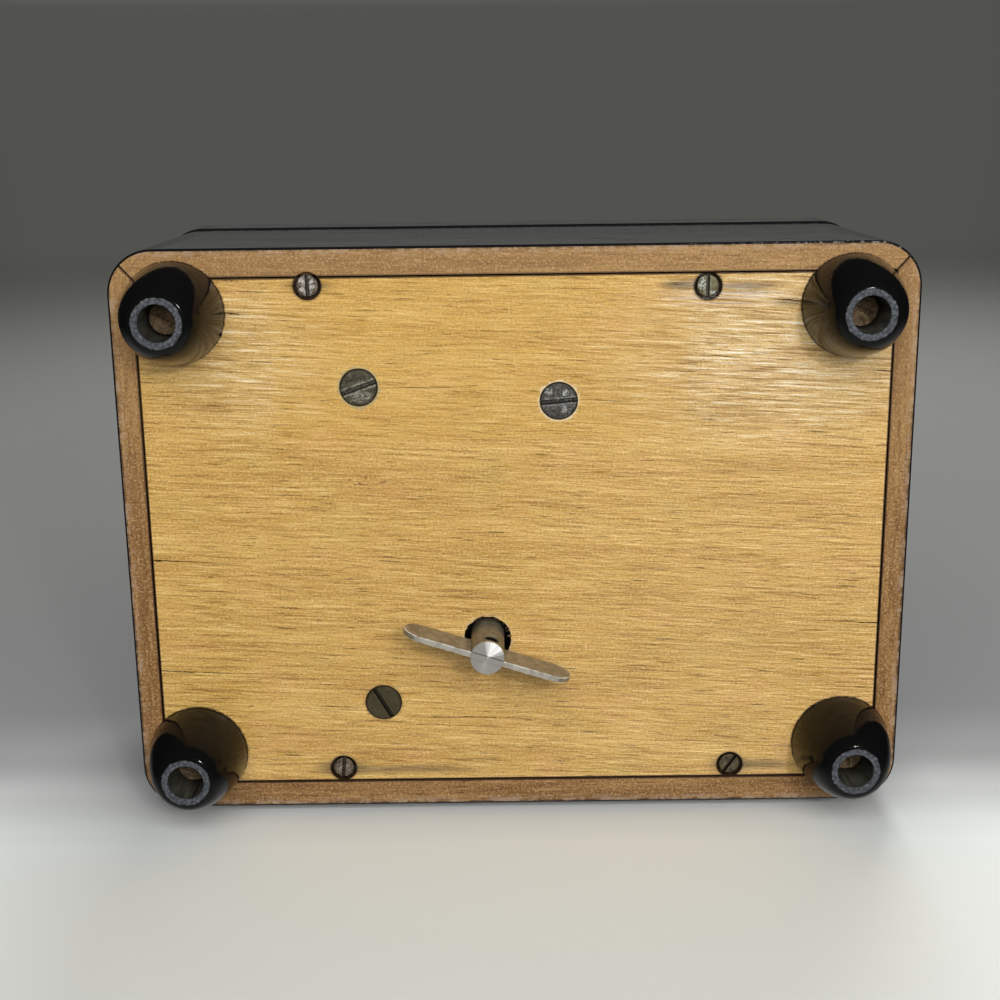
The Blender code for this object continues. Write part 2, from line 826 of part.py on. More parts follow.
def build_winding():
    top = bridge_top_z
    hub_low = barrel_low_z + barrel_floor + joint_gap
    hub_top = barrel_top_z - barrel_cover_thickness - joint_gap * 2
    low = panel_top_z - arbor_engagement
    profile = [
        (0, top),
        (arbor_radius, top),
        (arbor_radius, hub_top),
        (barrel_hub_radius, hub_top),
        (barrel_hub_radius, hub_low),
        (arbor_radius, hub_low),
        (arbor_radius, low),
        (0, low),
    ]
    turned("winding_arbor", profile, (key_x, key_y), coarse, look=STEEL)
    outline = []
    for tooth in range(ratchet_teeth):
        angle = math.radians(ratchet_phase + 360 * tooth / ratchet_teeth)
        outline.append((ratchet_root_radius * math.cos(angle), ratchet_root_radius * math.sin(angle)))
        outline.append((ratchet_radius * math.cos(angle), ratchet_radius * math.sin(angle)))
    bore = circle(0, 0, arbor_radius + joint_gap)
    wheel = plate("ratchet_wheel", outline, [bore], ratchet_low_z, ratchet_low_z + ratchet_thickness, STEEL)
    wheel.location = (key_x, key_y, 0)


def build_click():
    pivot_x, pivot_y = click_pivot
    outline = [
        (ratchet_radius - click_bite, -click_tip_width * 0.75),
        (ratchet_radius + click_tip_width * 0.75, -click_tip_width * 0.75 - click_tip_slope),
        (pivot_x - click_shoulder, pivot_y + click_shoulder),
    ]
    for step in range(9):
        angle = math.radians(180 + 22.5 * step)
        outline.append((pivot_x + click_eye_radius * math.cos(angle), pivot_y + click_eye_radius * math.sin(angle)))
    tip_top = click_tip_width * 0.25
    outline += [(ratchet_radius + click_back, tip_top), (ratchet_radius - click_bite, tip_top)]
    outline = [(x - pivot_x, y - pivot_y) for x, y in outline]
    hole = circle(0, 0, click_pin_radius + running_gap, 12)
    click = plate("click", outline, [hole], ratchet_low_z, ratchet_low_z + ratchet_thickness, STEEL)
    click.location = (key_x + pivot_x, key_y + pivot_y, 0)
    tip = (pivot_x + click_eye_radius + click_spring_gap, pivot_y + click_spring_drop)
    root = (pivot_x + click_spring_root[0], pivot_y + click_spring_root[1])
    block = click_spring_block
    spring = [
        (root[0], root[1]),
        (root[0] + block, root[1]),
        (root[0] + block, root[1] + block),
        (root[0] + click_spring_thickness * 2, root[1] + block),
        (tip[0] + click_spring_thickness, tip[1]),
        (tip[0], tip[1]),
        (root[0], root[1] + block),
    ]
    spring = [(key_x + x, key_y + y) for x, y in spring]
    plate("click_spring", spring, [], ratchet_low_z, ratchet_low_z + ratchet_thickness, BLUE_STEEL)


def build_barrel():
    place = (key_x, key_y)
    inner = barrel_radius - barrel_wall
    hole = arbor_radius + joint_gap
    floor_top = barrel_low_z + barrel_floor
    profile = [
        (hole, floor_top),
        (inner, floor_top),
        (inner, barrel_top_z),
        (barrel_radius, barrel_top_z),
        (barrel_radius, barrel_low_z),
        (hole, barrel_low_z),
    ]
    barrel = turned("barrel", profile, place, crown_teeth // 2, closed=True, look=BRASS)
    margin = barrel_wall * 0.1
    bm = bmesh.new()
    for tooth in range(crown_teeth):
        angle = -math.pi / 2 + 2 * math.pi * (tooth + 0.5) / crown_teeth
        made = bmesh.ops.create_cube(bm, size=1)
        size = Matrix.Diagonal((barrel_wall - 2 * margin, crown_tooth_thickness, crown_tooth_height * 1.2, 1))
        centre = Matrix.Translation((crown_mesh_radius, 0, crown_top_z - crown_tooth_height * 0.6))
        turn = Matrix.Rotation(angle, 4, "Z")
        bmesh.ops.transform(bm, matrix=turn @ centre @ size, verts=made["verts"])
    teeth = add_object("barrel_teeth", finish_mesh("barrel_teeth", bm))
    teeth.location = (key_x, key_y, 0)
    weld(barrel, teeth)

    cover_low = barrel_top_z - barrel_cover_thickness
    cover_radius = inner - joint_gap
    cover = [
        (hole, barrel_top_z),
        (cover_radius, barrel_top_z),
        (cover_radius, cover_low),
        (hole, cover_low),
    ]
    turned("barrel_cover", cover, place, medium, closed=True, look=BRASS)
    build_mainspring(floor_top + joint_gap, cover_low - joint_gap, inner)


def build_mainspring(low, high, inner):
    start = barrel_hub_radius + joint_gap
    end = inner - joint_gap - mainspring_strip
    steps = 14 * mainspring_turns
    inner_side = []
    outer_side = []
    for step in range(steps + 1):
        share = step / steps
        angle = 2 * math.pi * mainspring_turns * share
        radius = start + (end - start) * share
        inner_side.append((radius * math.cos(angle), radius * math.sin(angle)))
        radius += mainspring_strip
        outer_side.append((radius * math.cos(angle), radius * math.sin(angle)))
    spring = plate("mainspring", inner_side + outer_side[::-1], [], low, high, BLUE_STEEL)
    spring.location = (key_x, key_y, 0)


def build_bridge():
    reach = barrel_radius + 3 * joint_gap
    half = bridge_width / 2
    bridge = box(
        "barrel_bridge", (key_x - reach - bridge_leg, key_y - half, bridge_low_z),
        (key_x + reach + bridge_leg, key_y + half, bridge_top_z), BRASS
    )
    for name, side in (("left", -1), ("right", 1)):
        near = key_x + side * reach
        far = key_x + side * (reach + bridge_leg)
        leg_low = (min(near, far), key_y - half, bed_top_z + joint_gap)
        leg_high = (max(near, far), key_y + half, bridge_top_z - joint_gap)
        weld(bridge, box(f"bridge_leg_{name}", leg_low, leg_high))
    arm_half = bridge_arm_width / 2
    tab_back = pinion_y + bridge_tab_reach
    arm_low = (key_x - arm_half, tab_back - bearing_thickness, bridge_low_z)
    weld(bridge, box("bridge_arm", arm_low, (key_x + arm_half, key_y, bridge_top_z - joint_gap / 2)))
    tab_low = (key_x - arm_half * 0.9, tab_back - bearing_thickness, bridge_low_z + joint_gap)
    tab_high = (key_x + arm_half * 0.9, tab_back, cylinder_z + bridge_tab_rise)
    weld(bridge, box("bridge_tab", tab_low, tab_high))
    bearing = rod(
        "bridge_bearing", (key_x, tab_back - 2 * bearing_thickness, cylinder_z),
        (key_x, tab_back + bearing_thickness, cylinder_z), cylinder_arbor_radius + running_gap
    )
    cut(bridge, bearing)
    arbor_hole = rod(
        "bridge_arbor_hole", (key_x, key_y, bridge_low_z - bridge_thickness),
        (key_x, key_y, bridge_top_z + bridge_thickness), arbor_radius + joint_gap
    )
    cut(bridge, arbor_hole)


def gear_outline(teeth, pitch_radius, addendum, dedendum, thickness, phase):
    """A spur gear with plain tapered teeth; a tooth's middle lies at phase."""
    outline = []
    for tooth in range(teeth):
        middle = phase + 2 * math.pi * tooth / teeth
        half = thickness / 2 / pitch_radius
        root = pitch_radius - dedendum
        tip = pitch_radius + addendum
        for radius, spread in ((root, 1.45), (tip, 0.62)):
            outline.append((radius, middle - half * spread))
        for radius, spread in ((tip, 0.62), (root, 1.45)):
            outline.append((radius, middle + half * spread))
    return [(radius * math.cos(angle), radius * math.sin(angle)) for radius, angle in outline]


def gear_mesh(name, outline, holes, width, x, y, z):
    mesh = plate_mesh(name, outline, holes, -width / 2, width / 2)
    return along_y(mesh, x, y, z)


def build_cylinder():
    length_low = cylinder_front_y
    drum_bore = cylinder_arbor_radius + joint_gap
    drum = plate_mesh("cylinder", circle(0, 0, cylinder_radius, 36), [circle(0, 0, drum_bore)],
                      -cylinder_length / 2, cylinder_length / 2)
    along_y(drum, key_x, length_low + cylinder_length / 2, cylinder_z)
    cylinder = add_object("cylinder", drum, BRASS)
    pitch = cylinder_length / pin_rows
    bm = bmesh.new()
    count = 0
    for row in range(pin_rows):
        for pin in range(pins_in_a_row):
            made = bmesh.ops.create_cube(bm, size=1)
            angle = 2 * math.pi * ((row * 7 + pin * 13) % 36 + 0.5) / 36
            size = Matrix.Diagonal((pin_height * 2, pin_width, pin_width, 1))
            centre = Matrix.Translation((cylinder_radius, length_low + pitch * (row + 0.5), 0))
            turn = Matrix.Rotation(angle, 4, "Y")
            bmesh.ops.transform(bm, matrix=turn @ centre @ size, verts=made["verts"])
            count += 1
    pins = add_object("cylinder_pins", finish_mesh("cylinder_pins", bm))
    pins.location = (key_x, 0, cylinder_z)
    weld(cylinder, pins)

    arbor_back = pinion_y + cylinder_arbor_reach
    arbor = rod("cylinder_arbor", (key_x, front_plate_front_y + joint_gap, cylinder_z),
                (key_x, arbor_back, cylinder_z), cylinder_arbor_radius, look=STEEL)
    thickness = 2 * math.pi * pinion_pitch_radius / pinion_teeth * 0.31
    outline = gear_outline(pinion_teeth, pinion_pitch_radius, mesh_addendum, mesh_addendum * 2, thickness, -math.pi / 2)
    pinion = add_object("cylinder_pinion", gear_mesh("cylinder_pinion", outline, [], barrel_wall * 1.4,
                                                    key_x, pinion_y, cylinder_z))
    weld(arbor, pinion)

    thickness = math.pi * gear_module * 0.36
    outline = gear_outline(cylinder_wheel_teeth, wheel_pitch_radius, gear_module * 0.8, gear_module * 1.3,
                           thickness, second_angle)
    bore = circle(0, 0, cylinder_arbor_radius + joint_gap)
    wheel = gear_mesh("cylinder_wheel", outline, [bore], wheel_thickness, key_x, wheel_y, cylinder_z)
    add_object("cylinder_wheel", wheel, BRASS)


def build_second_wheel():
    start = (second_x, front_plate_front_y + joint_gap, second_z)
    end = (second_x, rear_plate_back_y - joint_gap, second_z)
    arbor = rod("second_wheel", start, end, second_arbor_radius, 16, BRASS)
    thickness = math.pi * gear_module * 0.36
    facing = second_angle + math.pi + math.pi / second_pinion_teeth
    outline = gear_outline(second_pinion_teeth, second_pitch_radius, gear_module * 0.8, gear_module * 1.3,
                           thickness, facing)
    weld(arbor, add_object("second_pinion", gear_mesh("second_pinion", outline, [], wheel_thickness * 1.2,
                                                      second_x, wheel_y, second_z)))
    outline = gear_outline(worm_wheel_teeth, worm_wheel_radius, mesh_addendum * 0.8, mesh_addendum * 1.6,
                           worm_pitch * 0.30, 0)
    weld(arbor, add_object("worm_wheel", gear_mesh("worm_wheel", outline, [], worm_wheel_thickness,
                                                   second_x, fly_y, second_z)))


def worm_radius(height, angle):
    """Radius of the threaded shaft; the thread's gap faces the wheel at -X at the wheel's height."""
    root = worm_pitch_radius - mesh_addendum * 1.4
    crest = worm_pitch_radius + mesh_addendum * 0.8
    half_length = worm_pitch * worm_turns / 2
    turns = (height - second_z) / worm_pitch - (angle - math.pi) / (2 * math.pi)
    from_gap = abs(turns - round(turns))
    flank = min(1.0, max(0.0, (from_gap - 0.27) / 0.08))
    fade = min(1.0, max(0.0, (half_length - abs(height - second_z)) / (worm_pitch * 0.25)))
    return root + (crest - root) * flank * fade


def build_fly():
    """One tube with a helical thread, a collar and a plain upper shaft; the wings are welded on."""
    segments = coarse
    half_length = worm_pitch * worm_turns / 2
    steps = 8 * worm_turns
    foot_z = bed_top_z + joint_gap * 2 + governor_plate * 0.5
    rings = [(foot_z, fly_shaft_radius), (second_z - half_length - joint_gap, fly_shaft_radius)]
    thread = [second_z - half_length + 2 * half_length * step / steps for step in range(steps + 1)]
    tail = [
        (second_z + half_length + joint_gap, fly_shaft_radius),
        (fly_collar_low_z, fly_shaft_radius),
        (fly_collar_low_z, fly_collar_radius),
        (fly_low_z, fly_collar_radius),
        (fly_low_z, fly_shaft_radius),
        (cock_low_z + governor_plate * 0.8, fly_shaft_radius),
    ]
    rows = [[(height, radius)] * segments for height, radius in rings]
    angles = [2 * math.pi * index / segments for index in range(segments)]
    rows += [[(height, worm_radius(height, angle)) for angle in angles] for height in thread]
    rows += [[(height, radius)] * segments for height, radius in tail]
    bm = bmesh.new()
    grid = []
    for row in rows:
        grid.append([bm.verts.new((radius * math.cos(angle), radius * math.sin(angle), height))
                     for (height, radius), angle in zip(row, angles)])
    for lower, upper in zip(grid, grid[1:]):
        for index in range(segments):
            following = (index + 1) % segments
            bm.faces.new((lower[index], lower[following], upper[following], upper[index]))
    bm.faces.new(grid[0])
    bm.faces.new(grid[-1])
    fly = add_object("fly", finish_mesh("fly", bm), STEEL)
    fly.location = (fly_x, fly_y, 0)
    wings = box("fly_wings", (-fly_radius, -fly_thickness / 2, fly_low_z - joint_gap),
                (fly_radius, fly_thickness / 2, fly_low_z + fly_height))
    wings.location = (fly_x, fly_y, 0)
    weld(fly, wings)


def build_governor_frame():
    left = second_x - governor_left_overhang
    right = fly_x + governor_right_overhang
    low = bed_top_z + joint_gap
    frame = box("governor_frame", (left, front_plate_front_y, low),
                (right, rear_plate_back_y, low + governor_plate), BRASS)
    front = box("governor_front", (left, front_plate_front_y, low + joint_gap),
                (right - joint_gap, front_plate_back_y, governor_top_z))
    rear = box("governor_rear", (left, rear_plate_front_y, low + joint_gap),
               (right - joint_gap, rear_plate_back_y, governor_top_z))
    weld(frame, front)
    weld(frame, rear)
    half = cock_width / 2
    leg = box("cock_leg", (fly_x - half, front_plate_front_y + joint_gap / 2, governor_top_z - 4 * joint_gap),
              (fly_x + half, front_plate_back_y - joint_gap / 2, cock_low_z + governor_plate))
    weld(frame, leg)
    bar = box("cock_bar", (fly_x - half * 0.8, front_plate_front_y + joint_gap, cock_low_z),
              (fly_x + half * 0.8, fly_y + half, cock_low_z + governor_plate - joint_gap / 2))
    weld(frame, bar)
    shaft = rod("governor_fly_bore", (fly_x, fly_y, low + governor_plate * 0.3), (fly_x, fly_y, cock_low_z + 2 * governor_plate),
                fly_shaft_radius + running_gap)
    cut(frame, shaft)
    arbor = rod("governor_arbor_bore", (second_x, front_plate_front_y - governor_plate, second_z),
                (second_x, rear_plate_back_y + governor_plate, second_z), second_arbor_radius + running_gap, 16)
    cut(frame, arbor)


def comb_rows():
    pitch = cylinder_length / pin_rows
    return [cylinder_front_y + pitch * (row + 0.5) for row in range(pin_rows)]


def comb_screw_places():
    x = key_x - comb_back + comb_seat_width / 2
    inset = cylinder_length * 0.16
    return {"comb_screw_1": (x, cylinder_front_y + inset), "comb_screw_2": (x, cylinder_back_y - inset)}


def build_bedplate():
    outline = rounded_rectangle(key_x - bedplate_left, key_x + bedplate_right, key_y - bedplate_front,
                                key_y + bedplate_back, bedplate_corner_radius)
    holes = [circle(key_x, key_y, arbor_radius + joint_gap)]
    for name in movement_screw_places:
        x, y, _ = movement_screw_place(name)
        holes.append(circle(x, y, movement_screw_shank_radius + joint_gap))
    bedplate = plate("bedplate", outline, holes, bed_low_z, bed_top_z, CAST_ZINC)
    sink = bedplate_thickness / 2
    comb_low = cylinder_z - comb_thickness / 2
    back = key_x - comb_back
    seat = box("comb_seat", (back, cylinder_front_y, bed_top_z - sink),
               (back + comb_seat_width, cylinder_back_y, comb_low - joint_gap))
    weld(bedplate, seat)
    for name, (x, y) in comb_screw_places().items():
        hole_low = comb_low - comb_screw_hole_depth
        cut(bedplate, rod(name + "_hole", (x, y, hole_low), (x, y, comb_low), comb_screw_radius + joint_gap))
    half = upright_width / 2
    upright = box("cylinder_upright", (key_x - half, front_plate_front_y, bed_top_z - sink),
                  (key_x + half, front_plate_back_y, cylinder_z + half))
    weld(bedplate, upright)
    bearing = rod("upright_bearing", (key_x, front_plate_front_y - governor_plate, cylinder_z),
                  (key_x, front_plate_back_y + governor_plate, cylinder_z), cylinder_arbor_radius + running_gap)
    cut(bedplate, bearing)
    pivot_x, pivot_y = click_pivot
    stud = rod("click_stud", (key_x + pivot_x, key_y + pivot_y, bed_top_z - sink),
               (key_x + pivot_x, key_y + pivot_y, ratchet_low_z + ratchet_thickness * 0.9), click_pin_radius, 12)
    weld(bedplate, stud)
    lug_y = key_y + stop_lever_pivot_y
    lug_left = lever_x + stop_lever_thickness / 2 + joint_gap
    lug_low = (lug_left, lug_y - lever_lug_width / 2, bed_top_z - sink)
    lug_high = (key_x + bedplate_right - joint_gap, lug_y + lever_lug_width / 2, lever_z + lever_lug_rise)
    weld(bedplate, box("lever_lug", lug_low, lug_high))
    pin_left = lever_x - stop_lever_thickness / 2 - joint_gap
    pin = rod("lever_pin", (pin_left, lug_y, lever_z), (lug_left + joint_gap, lug_y, lever_z), stop_pin_radius, 12)
    weld(bedplate, pin)


def build_comb():
    tip = key_x - cylinder_radius - pin_height - comb_tip_gap
    back = key_x - comb_back
    pitch = cylinder_length / pin_rows
    half = pitch * comb_tooth_share / 2
    rows = comb_rows()
    outline = [(back, cylinder_back_y), (back, cylinder_front_y)]
    for index, y in enumerate(rows):
        length = comb_longest_tooth + (comb_shortest_tooth - comb_longest_tooth) * index / (len(rows) - 1)
        outline += [(tip - length, y - half), (tip, y - half), (tip, y + half), (tip - length, y + half)]
    holes = [circle(x, y, comb_screw_radius + joint_gap) for x, y in comb_screw_places().values()]
    low = cylinder_z - comb_thickness / 2
    plate("comb", outline, holes, low, low + comb_thickness, STEEL)
    for name, place in comb_screw_places().items():
        head_low = low + comb_thickness + joint_gap
        top = head_low + comb_screw_head_height
        slotted_screw(name, place, low - comb_screw_grip, comb_screw_head_radius, comb_screw_head_height,
                      comb_screw_radius, top, 30, BLUE_STEEL, upward=True)


def build_stop_work():
    half = stop_lever_thickness / 2
    front = fly_y - stop_finger_width * 0.6
    back = rod_y + 2 * stop_rod_radius
    lever = box("stop_lever", (lever_x - half, front, stop_finger_top_z - stop_lever_height),
                (lever_x + half, back, stop_finger_top_z), STEEL)
    pivot_y = key_y + stop_lever_pivot_y
    lever.data.transform(Matrix.Translation((-lever_x, -pivot_y, -lever_z)))
    lever.location = (lever_x, pivot_y, lever_z)
    finger_tip = fly_x + fly_shaft_radius + stop_finger_clearance
    finger = box("stop_finger", (finger_tip, front, stop_finger_top_z - stop_finger_thickness),
                 (lever_x, front + stop_finger_width, stop_finger_top_z - joint_gap / 10))
    weld(lever, finger)
    hole = rod("lever_hole", (lever_x - 2 * half, pivot_y, lever_z), (lever_x + 2 * half, pivot_y, lever_z),
               stop_pin_radius + running_gap, 12)
    cut(lever, hole)
    rod_low = stop_finger_top_z + joint_gap
    rod("stop_rod", (lever_x, rod_y, rod_low), (lever_x, rod_y, lining_low_z - joint_gap), stop_rod_radius,
        look=STEEL)


case_sides = build_case()
build_feet()
build_case_screws()
lid_sides = build_lid()
build_hinge("hinge_left", hinge_inset - half_length, case_sides["back"], lid_sides["back"])
build_hinge("hinge_right", half_length - hinge_inset, case_sides["back"], lid_sides["back"])
build_tray()
build_key()
build_winding()
build_click()
build_barrel()
build_bridge()
build_cylinder()
build_second_wheel()
build_fly()
build_governor_frame()
build_bedplate()
build_comb()
build_stop_work()
bpy.context.view_layer.update()
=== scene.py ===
"""The wooden music box seen from below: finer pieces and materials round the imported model."""
import math
import random

import bmesh
import bpy
from mathutils import Matrix, Vector, noise


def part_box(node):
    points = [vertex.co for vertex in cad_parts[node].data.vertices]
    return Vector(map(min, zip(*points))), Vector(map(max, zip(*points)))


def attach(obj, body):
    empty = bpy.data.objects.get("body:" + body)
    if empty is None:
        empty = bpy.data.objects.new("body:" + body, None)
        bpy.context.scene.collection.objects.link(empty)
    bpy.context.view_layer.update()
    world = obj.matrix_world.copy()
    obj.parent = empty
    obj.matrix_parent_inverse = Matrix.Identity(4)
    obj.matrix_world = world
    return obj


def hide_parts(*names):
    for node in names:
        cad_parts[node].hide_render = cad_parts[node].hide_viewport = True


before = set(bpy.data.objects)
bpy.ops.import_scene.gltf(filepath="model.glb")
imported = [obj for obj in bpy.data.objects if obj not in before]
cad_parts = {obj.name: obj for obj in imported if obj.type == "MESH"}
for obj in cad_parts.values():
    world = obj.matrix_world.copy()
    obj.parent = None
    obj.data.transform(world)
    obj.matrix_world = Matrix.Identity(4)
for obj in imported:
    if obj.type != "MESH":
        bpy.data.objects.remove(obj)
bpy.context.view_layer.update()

def middle(name):
    """The middle of a CAD node's box."""
    low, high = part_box(name)
    return (Vector(low) + Vector(high)) / 2


def half_width(name):
    low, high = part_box(name)
    return (high.x - low.x) / 2


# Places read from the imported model
panel_low, panel_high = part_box("bottom_panel")
lid_low, lid_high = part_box("lid_top")
stem_low, stem_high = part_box("key_stem")
lid_bottom, lid_ceiling = (corner.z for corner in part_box("lid_left"))
wall_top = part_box("side_left")[1].z
tray_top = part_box("tray_floor")[1].z
CASE_Y = middle("lid_top").y
UNDERSIDE = panel_low.z
HALF_X = (lid_high.x - lid_low.x) / 2
HALF_Y = (lid_high.y - lid_low.y) / 2
LONG_WALL = HALF_Y + CASE_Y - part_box("side_back")[0].y
SIDE_WALL = HALF_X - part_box("side_right")[0].x
KEY = Vector((middle("key_stem").x, middle("key_stem").y, 0))
CORNER = 0.0085
SKIN = 0.0004
GAP = 0.0003

# Screws: slot angle seen from above, in degrees
FOOT_SLOTS = {"front_left": 25, "front_right": 20, "back_left": 35, "back_right": 80}
PANEL_SLOTS = {"panel_screw_1": 88, "panel_screw_2": 90, "panel_screw_3": -84, "panel_screw_4": -55}
MOVEMENT_SLOTS = {"movement_screw_1": -20, "movement_screw_2": -5, "movement_screw_3": 60}
SLOT_ANGLES = PANEL_SLOTS | MOVEMENT_SLOTS
# Width of each slot as a share of the head's radius
SLOT_SHARES = dict.fromkeys(PANEL_SLOTS, 0.34) | dict.fromkeys(MOVEMENT_SLOTS, 0.25)
KEY_ANGLE = 17.9
GRAIN_ANGLE = 2.8

# Splits along the panel's grain: points on the underside in mm, and the greatest width
SPLITS = [
    ([(-69.9, 3.0), (-61.1, 3.5), (-54.6, 3.9), (-51.5, 4.1)], 0.26),
    ([(-69.9, 25.7), (-56.9, 26.4), (-45.8, 26.5)], 0.24),
    ([(-40.8, 33.4), (-30.3, 34.0)], 0.2),
    ([(-23.9, 36.0), (-8.5, 36.2), (0.4, 36.5)], 0.18),
    ([(54.8, 16.8), (61.2, 17.0), (70.5, 17.6)], 0.26),
    ([(64.6, 25.8), (70.8, 26.1)], 0.22),
    ([(9.8, 26.8), (14.3, 27.2)], 0.16),
    ([(56.2, -1.8), (61.6, -1.4)], 0.14),
    ([(61.0, 8.5), (67.0, 8.9)], 0.16),
    ([(-0.7, 36.0), (3.2, 36.3)], 0.14),
    ([(17.1, 36.1), (22.7, 36.3)], 0.12),
    ([(27.1, 36.2), (31.6, 36.4)], 0.12),
    ([(47.1, -45.7), (55.4, -45.1)], 0.2),
    ([(64.9, -32.4), (70.3, -32.0)], 0.22),
    ([(33.8, -35.6), (42.7, -34.9)], 0.13),
    ([(11.8, -27.4), (21.9, -26.8)], 0.16),
    ([(45.0, -13.5), (51.4, -13.1)], 0.14),
    ([(-54.1, -44.5), (-50.4, -44.0)], 0.18),
    ([(-25.8, -30.1), (-11.0, -29.8)], 0.12),
]

# Dark stains round the small screws: centre, reach along and across the grain in mm, strength
STAINS = [
    ((-35.0, 46.8), (8.5, 2.4), 0.9),
    ((-22.0, 47.2), (17.0, 1.5), 0.65),
    ((42.0, 47.0), (6.0, 2.6), 0.9),
    ((48.5, 47.1), (8.5, 1.8), 0.7),
    ((-38.1, -49.1), (6.5, 1.8), 0.9),
    ((31.0, -48.6), (6.0, 1.7), 0.85),
    ((42.0, -47.9), (8.0, 1.5), 0.85),
    ((51.0, -45.2), (6.0, 1.1), 0.6),
    ((-52.0, -44.2), (5.0, 0.9), 0.4),
]

# Rings of disturbed varnish round the large screws: colour and strength
RINGS = {
    "movement_screw_1": ((0.4, 0.34, 0.17), 0.8),
    "movement_screw_2": ((0.76, 0.62, 0.38), 0.85),
    "movement_screw_3": ((0.27, 0.17, 0.06), 0.5),
}

# Bright marks on the screws' faces: centre from the axis and reach in mm, strength
MARKS = {
    "movement_screw_1": [
        ((0.3, 1.7), (3.4, 1.7), 0.75), ((0.9, 1.9), (1.6, 0.8), 1.0), ((-2.6, 0.6), (0.9, 0.8), 1.0),
    ],
    "movement_screw_2": [
        ((1.2, -1.5), (1.0, 1.3), 1.0), ((1.8, -0.1), (1.5, 0.8), 0.9), ((1.0, 1.6), (0.8, 1.2), 1.0),
        ((0.0, -0.2), (0.7, 0.5), 0.8), ((-1.9, -1.9), (1.2, 1.3), 0.7), ((-2.0, -0.4), (1.4, 0.4), 0.5),
    ],
    "movement_screw_3": [((1.35, 2.75), (0.45, 0.45), 1.0)],
    "panel_screw_1": [
        ((-0.9, -0.9), (1.1, 1.2), 1.0), ((-1.0, 0.9), (1.0, 1.2), 1.0), ((0.9, -0.2), (0.8, 1.9), 0.9),
    ],
    "panel_screw_2": [((-1.1, -0.4), (1.1, 1.9), 1.0), ((0.8, 1.2), (1.1, 0.6), 0.8)],
    "panel_screw_3": [((-0.9, 0.1), (1.0, 1.7), 0.9), ((0.8, 0.2), (1.0, 1.6), 0.7)],
    "panel_screw_4": [((-0.9, 0.1), (0.9, 1.6), 0.6), ((0.9, 0.5), (1.0, 1.3), 0.6)],
}


# Metal of the named screws: base, dark and light tones, how bright the slot's edges are, roughness
SCREW_METALS = {
    "panel_screw_1": ((0.18, 0.14, 0.095), (0.045, 0.03, 0.018), (0.64, 0.6, 0.55), 0.3, 0.45),
    "panel_screw_2": ((0.205, 0.185, 0.095), (0.12, 0.1, 0.045), (0.56, 0.58, 0.5), 0.2, 0.45),
    "panel_screw_3": ((0.17, 0.13, 0.085), (0.08, 0.055, 0.03), (0.34, 0.29, 0.22), 0.2, 0.45),
    "panel_screw_4": ((0.12, 0.098, 0.05), (0.06, 0.045, 0.022), (0.22, 0.19, 0.13), 0.2, 0.45),
    "movement_screw_1": ((0.1, 0.088, 0.056), (0.06, 0.052, 0.034), (0.4, 0.38, 0.29), 0.9, 0.45),
    "movement_screw_2": ((0.098, 0.091, 0.078), (0.058, 0.052, 0.046), (0.52, 0.53, 0.5), 0.35, 0.45),
    "movement_screw_3": ((0.088, 0.072, 0.039), (0.07, 0.056, 0.03), (0.12, 0.105, 0.07), 0.12, 0.38),
}


def screw_place(name):
    """The middle of a screw's face."""
    return Vector((middle(name).x, middle(name).y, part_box(name)[0].z))


def darker(colour, share):
    return tuple(value * share for value in colour)


class Nodes:
    """Short ways to add nodes to a tree and to link them."""

    def __init__(self, tree, coordinates):
        self.tree = tree
        self.place = self.node("TexCoord", output=coordinates)

    def put(self, socket, value):
        if isinstance(value, bpy.types.NodeSocket):
            self.tree.links.new(value, socket)
        elif isinstance(value, tuple) and len(value) == 3 and socket.type == "RGBA":
            socket.default_value = (*value, 1)
        else:
            socket.default_value = value

    def node(self, kind, inputs=(), output=0, **settings):
        made = self.tree.nodes.new("ShaderNode" + kind)
        for key, value in settings.items():
            setattr(made, key, value)
        for key, value in dict(inputs).items():
            self.put(made.inputs[key], value)
        return made.outputs[output]

    def mix(self, share, first, second):
        return self.node("Mix", {0: share, 6: first, 7: second}, output=2, data_type="RGBA")

    def band(self, value, low, high, to_low=0.0, to_high=1.0):
        """value from low to high becomes to_low to to_high, smoothly, and stays there outside."""
        inputs = {0: value, 1: low, 2: high, 3: to_low, 4: to_high}
        return self.node("MapRange", inputs, interpolation_type="SMOOTHSTEP")

    def axis(self, index):
        return self.node("SeparateXYZ", {"Vector": self.place}, output=index)


